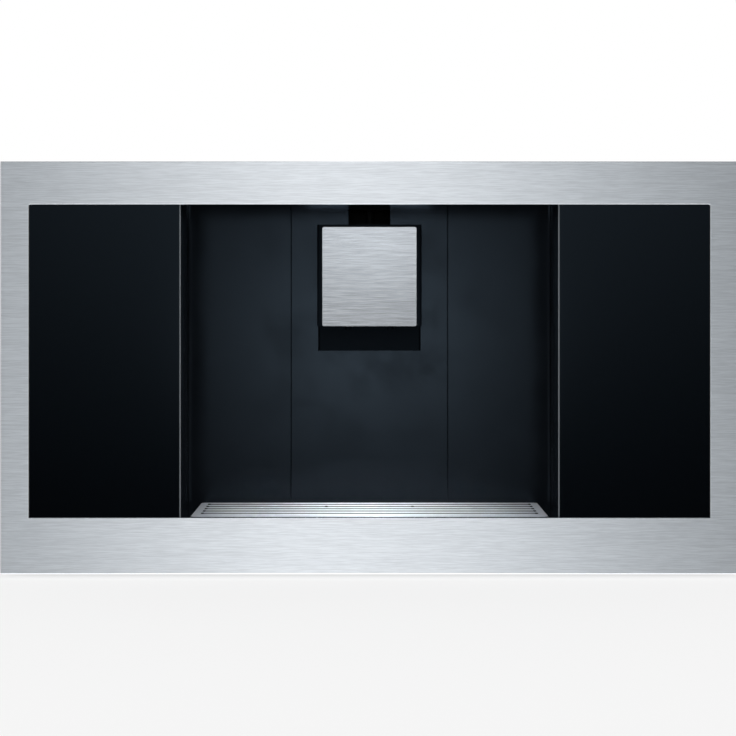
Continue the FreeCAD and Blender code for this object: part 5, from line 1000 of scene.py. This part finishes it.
class BuildStudio(bpy.types.Operator):
    """Floor, room light, softboxes and camera"""

    bl_idname = "coffee_maker.studio"
    bl_label = "Studio"

    def execute(self, context):
        floor = self.make_floor()
        self.make_room()
        self.make_lamps(floor)
        self.make_camera(context)
        return {"FINISHED"}

    def make_floor(self):
        """Pale floor that the eye sees nearly white, with the object's shadow on it."""
        shape = bmesh.new()
        bmesh.ops.create_grid(shape, x_segments=1, y_segments=1, size=FLOOR_HALF)
        floor = bpy.data.objects.new("studio_floor", mesh_from("studio_floor", shape))
        bpy.context.scene.collection.objects.link(floor)
        material, shading, sockets = new_material("Studio floor")
        sockets["Base Color"].default_value = rgba(colours().floor)
        sockets["Roughness"].default_value = FLOOR_ROUGHNESS
        path = shading.add("ShaderNodeLightPath").outputs
        seen = shading.math("MAXIMUM", path["Is Camera Ray"], path["Is Transmission Ray"])
        mix = shading.add("ShaderNodeMixShader")
        shading.join(shading.math("MULTIPLY", seen, FLOOR_WHITE_SHARE), mix.inputs[0])
        shading.join(shading.find("BSDF_PRINCIPLED").outputs[0], mix.inputs[1])
        shading.join(shading.add("ShaderNodeEmission").outputs[0], mix.inputs[2])
        shading.join(mix.outputs[0], shading.find("OUTPUT_MATERIAL").inputs["Surface"])
        floor.data.materials.append(material)
        floor.visible_glossy = False
        return floor

    def make_room(self):
        """White room for the eye; the reflections see a dim wall in front, paler above and below."""
        world = bpy.data.worlds.new("Studio room")
        bpy.context.scene.world = world
        world.use_nodes = True
        world.node_tree.nodes.clear()
        shading = Shading(world.node_tree)
        x, y, z = shading.split(shading.where("Generated"))
        rise = shading.math("DEGREES", shading.math("ARCSINE", z))
        side = shading.math("DEGREES", shading.math("ARCTAN2", x, shading.math("MULTIPLY", y, -1.0)))
        turn = shading.math("ABSOLUTE", side)
        tone = self.mirrored(shading, rise, side, turn)
        tone = shading.blend(shading.ramp(turn, **SIDE_WALLS), tone, grey(SIDE_LEVEL))
        tone = shading.blend(shading.ramp(rise, **UNDERSIDE), tone, grey(UNDERSIDE_LEVEL))
        path = shading.add("ShaderNodeLightPath").outputs
        shiny = shading.math("MAXIMUM", path["Is Glossy Ray"], path["Is Transmission Ray"])
        tone = shading.blend(shiny, grey(studio().ambient), tone)
        tone = shading.blend(path["Is Camera Ray"], tone, rgba(WHITE))
        background = shading.add("ShaderNodeBackground")
        shading.join(tone, background.inputs["Color"])
        shading.join(background.outputs[0], shading.add("ShaderNodeOutputWorld").inputs["Surface"])

    def mirrored(self, shading, rise, side, turn):
        """What is seen straight ahead: a bright column above and below, a pale band and a small glint."""
        away = shading.math("DIVIDE", shading.math("ADD", side, COLUMN_ASIDE), COLUMN_SPREAD)
        column = shading.math("DIVIDE", 1.0, shading.math("MULTIPLY_ADD", away, away, 1.0))
        glow = shading.math("ADD", shading.ramp(rise, **GLOW_ABOVE), shading.ramp(rise, **GLOW_BELOW))
        bright = shading.math("MULTIPLY", glow, column)
        band_rise, band_turn = shading.bell(rise, **BAND_RISE), shading.bell(turn, **BAND_TURN)
        band = shading.math("MULTIPLY", shading.math("MULTIPLY", band_rise, band_turn), BAND_LEVEL)
        glint_rise, glint_turn = shading.bell(rise, **GLINT_RISE), shading.bell(turn, **GLINT_TURN)
        glint = shading.math("MULTIPLY", glint_turn, glint_rise)
        cool = shading.lift(glint, base=band, rise=GLINT_LEVEL)
        mirror = shading.add("ShaderNodeCombineXYZ")
        for socket, cool_share, end_share in zip(mirror.inputs, COOL_SHARES, COLUMN_END_SHARES):
            tint = shading.ramp(column, start=end_share, **COLUMN_FADE)
            level = shading.math("MULTIPLY", bright, tint)
            shading.join(shading.lift(cool, base=level, rise=cool_share), socket)
        return mirror.outputs[0]

    def make_lamps(self, floor):
        """Softboxes above and at both sides, and a narrow spot on the grate that skips the floor."""
        key = self.lamp("key_softbox", KEY_PLACE, LAMP_TARGET, KEY_SIZE, studio().key_power)
        key.visible_glossy = False
        x, y, z = SIDE_PLACE
        for side in (-1, 1):
            self.lamp("side_softbox", (side * x, y, z), LAMP_TARGET, SIDE_SIZE, studio().fill_power)
        grate_low, grate_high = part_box("drip_grate")
        grate_middle = (grate_low + grate_high) / 2
        spot = self.lamp("niche_spot", SPOT_PLACE, grate_middle, SPOT_SIZE, studio().spot_power)
        spot.data.spread = math.radians(SPOT_SPREAD)
        spot.data.cycles.max_bounces = 0
        spot.visible_glossy = False
        unlit = bpy.data.collections.new("niche_spot_unlit")
        unlit.objects.link(floor)
        unlit.collection_objects[0].light_linking.link_state = "EXCLUDE"
        spot.light_linking.receiver_collection = unlit

    def lamp(self, name, place, target, size, power):
        """An area lamp at a place from the door's foot, turned to a target in the object's frame."""
        light = bpy.data.lights.new(name, "AREA")
        light.shape = "RECTANGLE"
        light.size, light.size_y = size
        light.energy = power
        lamp = bpy.data.objects.new(name, light)
        x, y, z = place
        lamp.location = (x, CAD_BOX[0][1] + y, z)
        lamp.rotation_euler = (Vector(target) - lamp.location).to_track_quat("-Z", "Y").to_euler()
        bpy.context.scene.collection.objects.link(lamp)
        return lamp

    def make_camera(self, context):
        settings = studio()
        data = bpy.data.cameras.new("front_camera")
        data.lens = settings.lens
        data.sensor_width = SENSOR_WIDTH
        data.shift_y = settings.shift
        data.clip_end = CLIP_END
        camera = bpy.data.objects.new("front_camera", data)
        camera.location = (-settings.aside, CAD_BOX[0][1] - settings.distance, settings.height)
        camera.rotation_euler = (math.pi / 2, 0.0, 0.0)
        context.scene.collection.objects.link(camera)
        context.scene.camera = camera
        context.scene.view_settings.view_transform = "Standard"


PIECES = (
    DressSteelFront,
    DressGlass,
    DressNiche,
    DressSpout,
    DressTray,
    DressDoor,
    DressCasing,
    DressWater,
    DressBrew,
    DressBeans,
    AddDoorSeal,
    AddDoorPads,
    ThreadLeadScrew,
    BuildStudio,
)


class CoffeeMakerPanel(bpy.types.Panel):
    """Lists the coffee maker's pieces and their settings"""

    bl_idname = "VIEW3D_PT_coffee_maker"
    bl_label = "Coffee maker"
    bl_space_type = "VIEW_3D"
    bl_region_type = "UI"
    bl_category = "Coffee maker"

    def draw(self, context):
        layout = self.layout
        for group in (colours(), sizes(), studio()):
            column = layout.column(align=True)
            for name in group.__annotations__:
                column.prop(group, name)
        for piece in PIECES:
            layout.operator(piece.bl_idname)


CLASSES = (FinishColours, FinishSizes, StudioSettings) + PIECES + (CoffeeMakerPanel,)


def register():
    for item in CLASSES:
        bpy.utils.register_class(item)
    bpy.types.Scene.coffee_maker_colours = PointerProperty(type=FinishColours)
    bpy.types.Scene.coffee_maker_sizes = PointerProperty(type=FinishSizes)
    bpy.types.Scene.coffee_maker_studio = PointerProperty(type=StudioSettings)


def unregister():
    del bpy.types.Scene.coffee_maker_studio
    del bpy.types.Scene.coffee_maker_sizes
    del bpy.types.Scene.coffee_maker_colours
    for item in reversed(CLASSES):
        bpy.utils.unregister_class(item)


def main():
    register()
    for piece in PIECES:
        namespace, name = piece.bl_idname.split(".")
        getattr(getattr(bpy.ops, namespace), name)()
    bpy.context.view_layer.update()


if __name__ == "__main__":
    main()
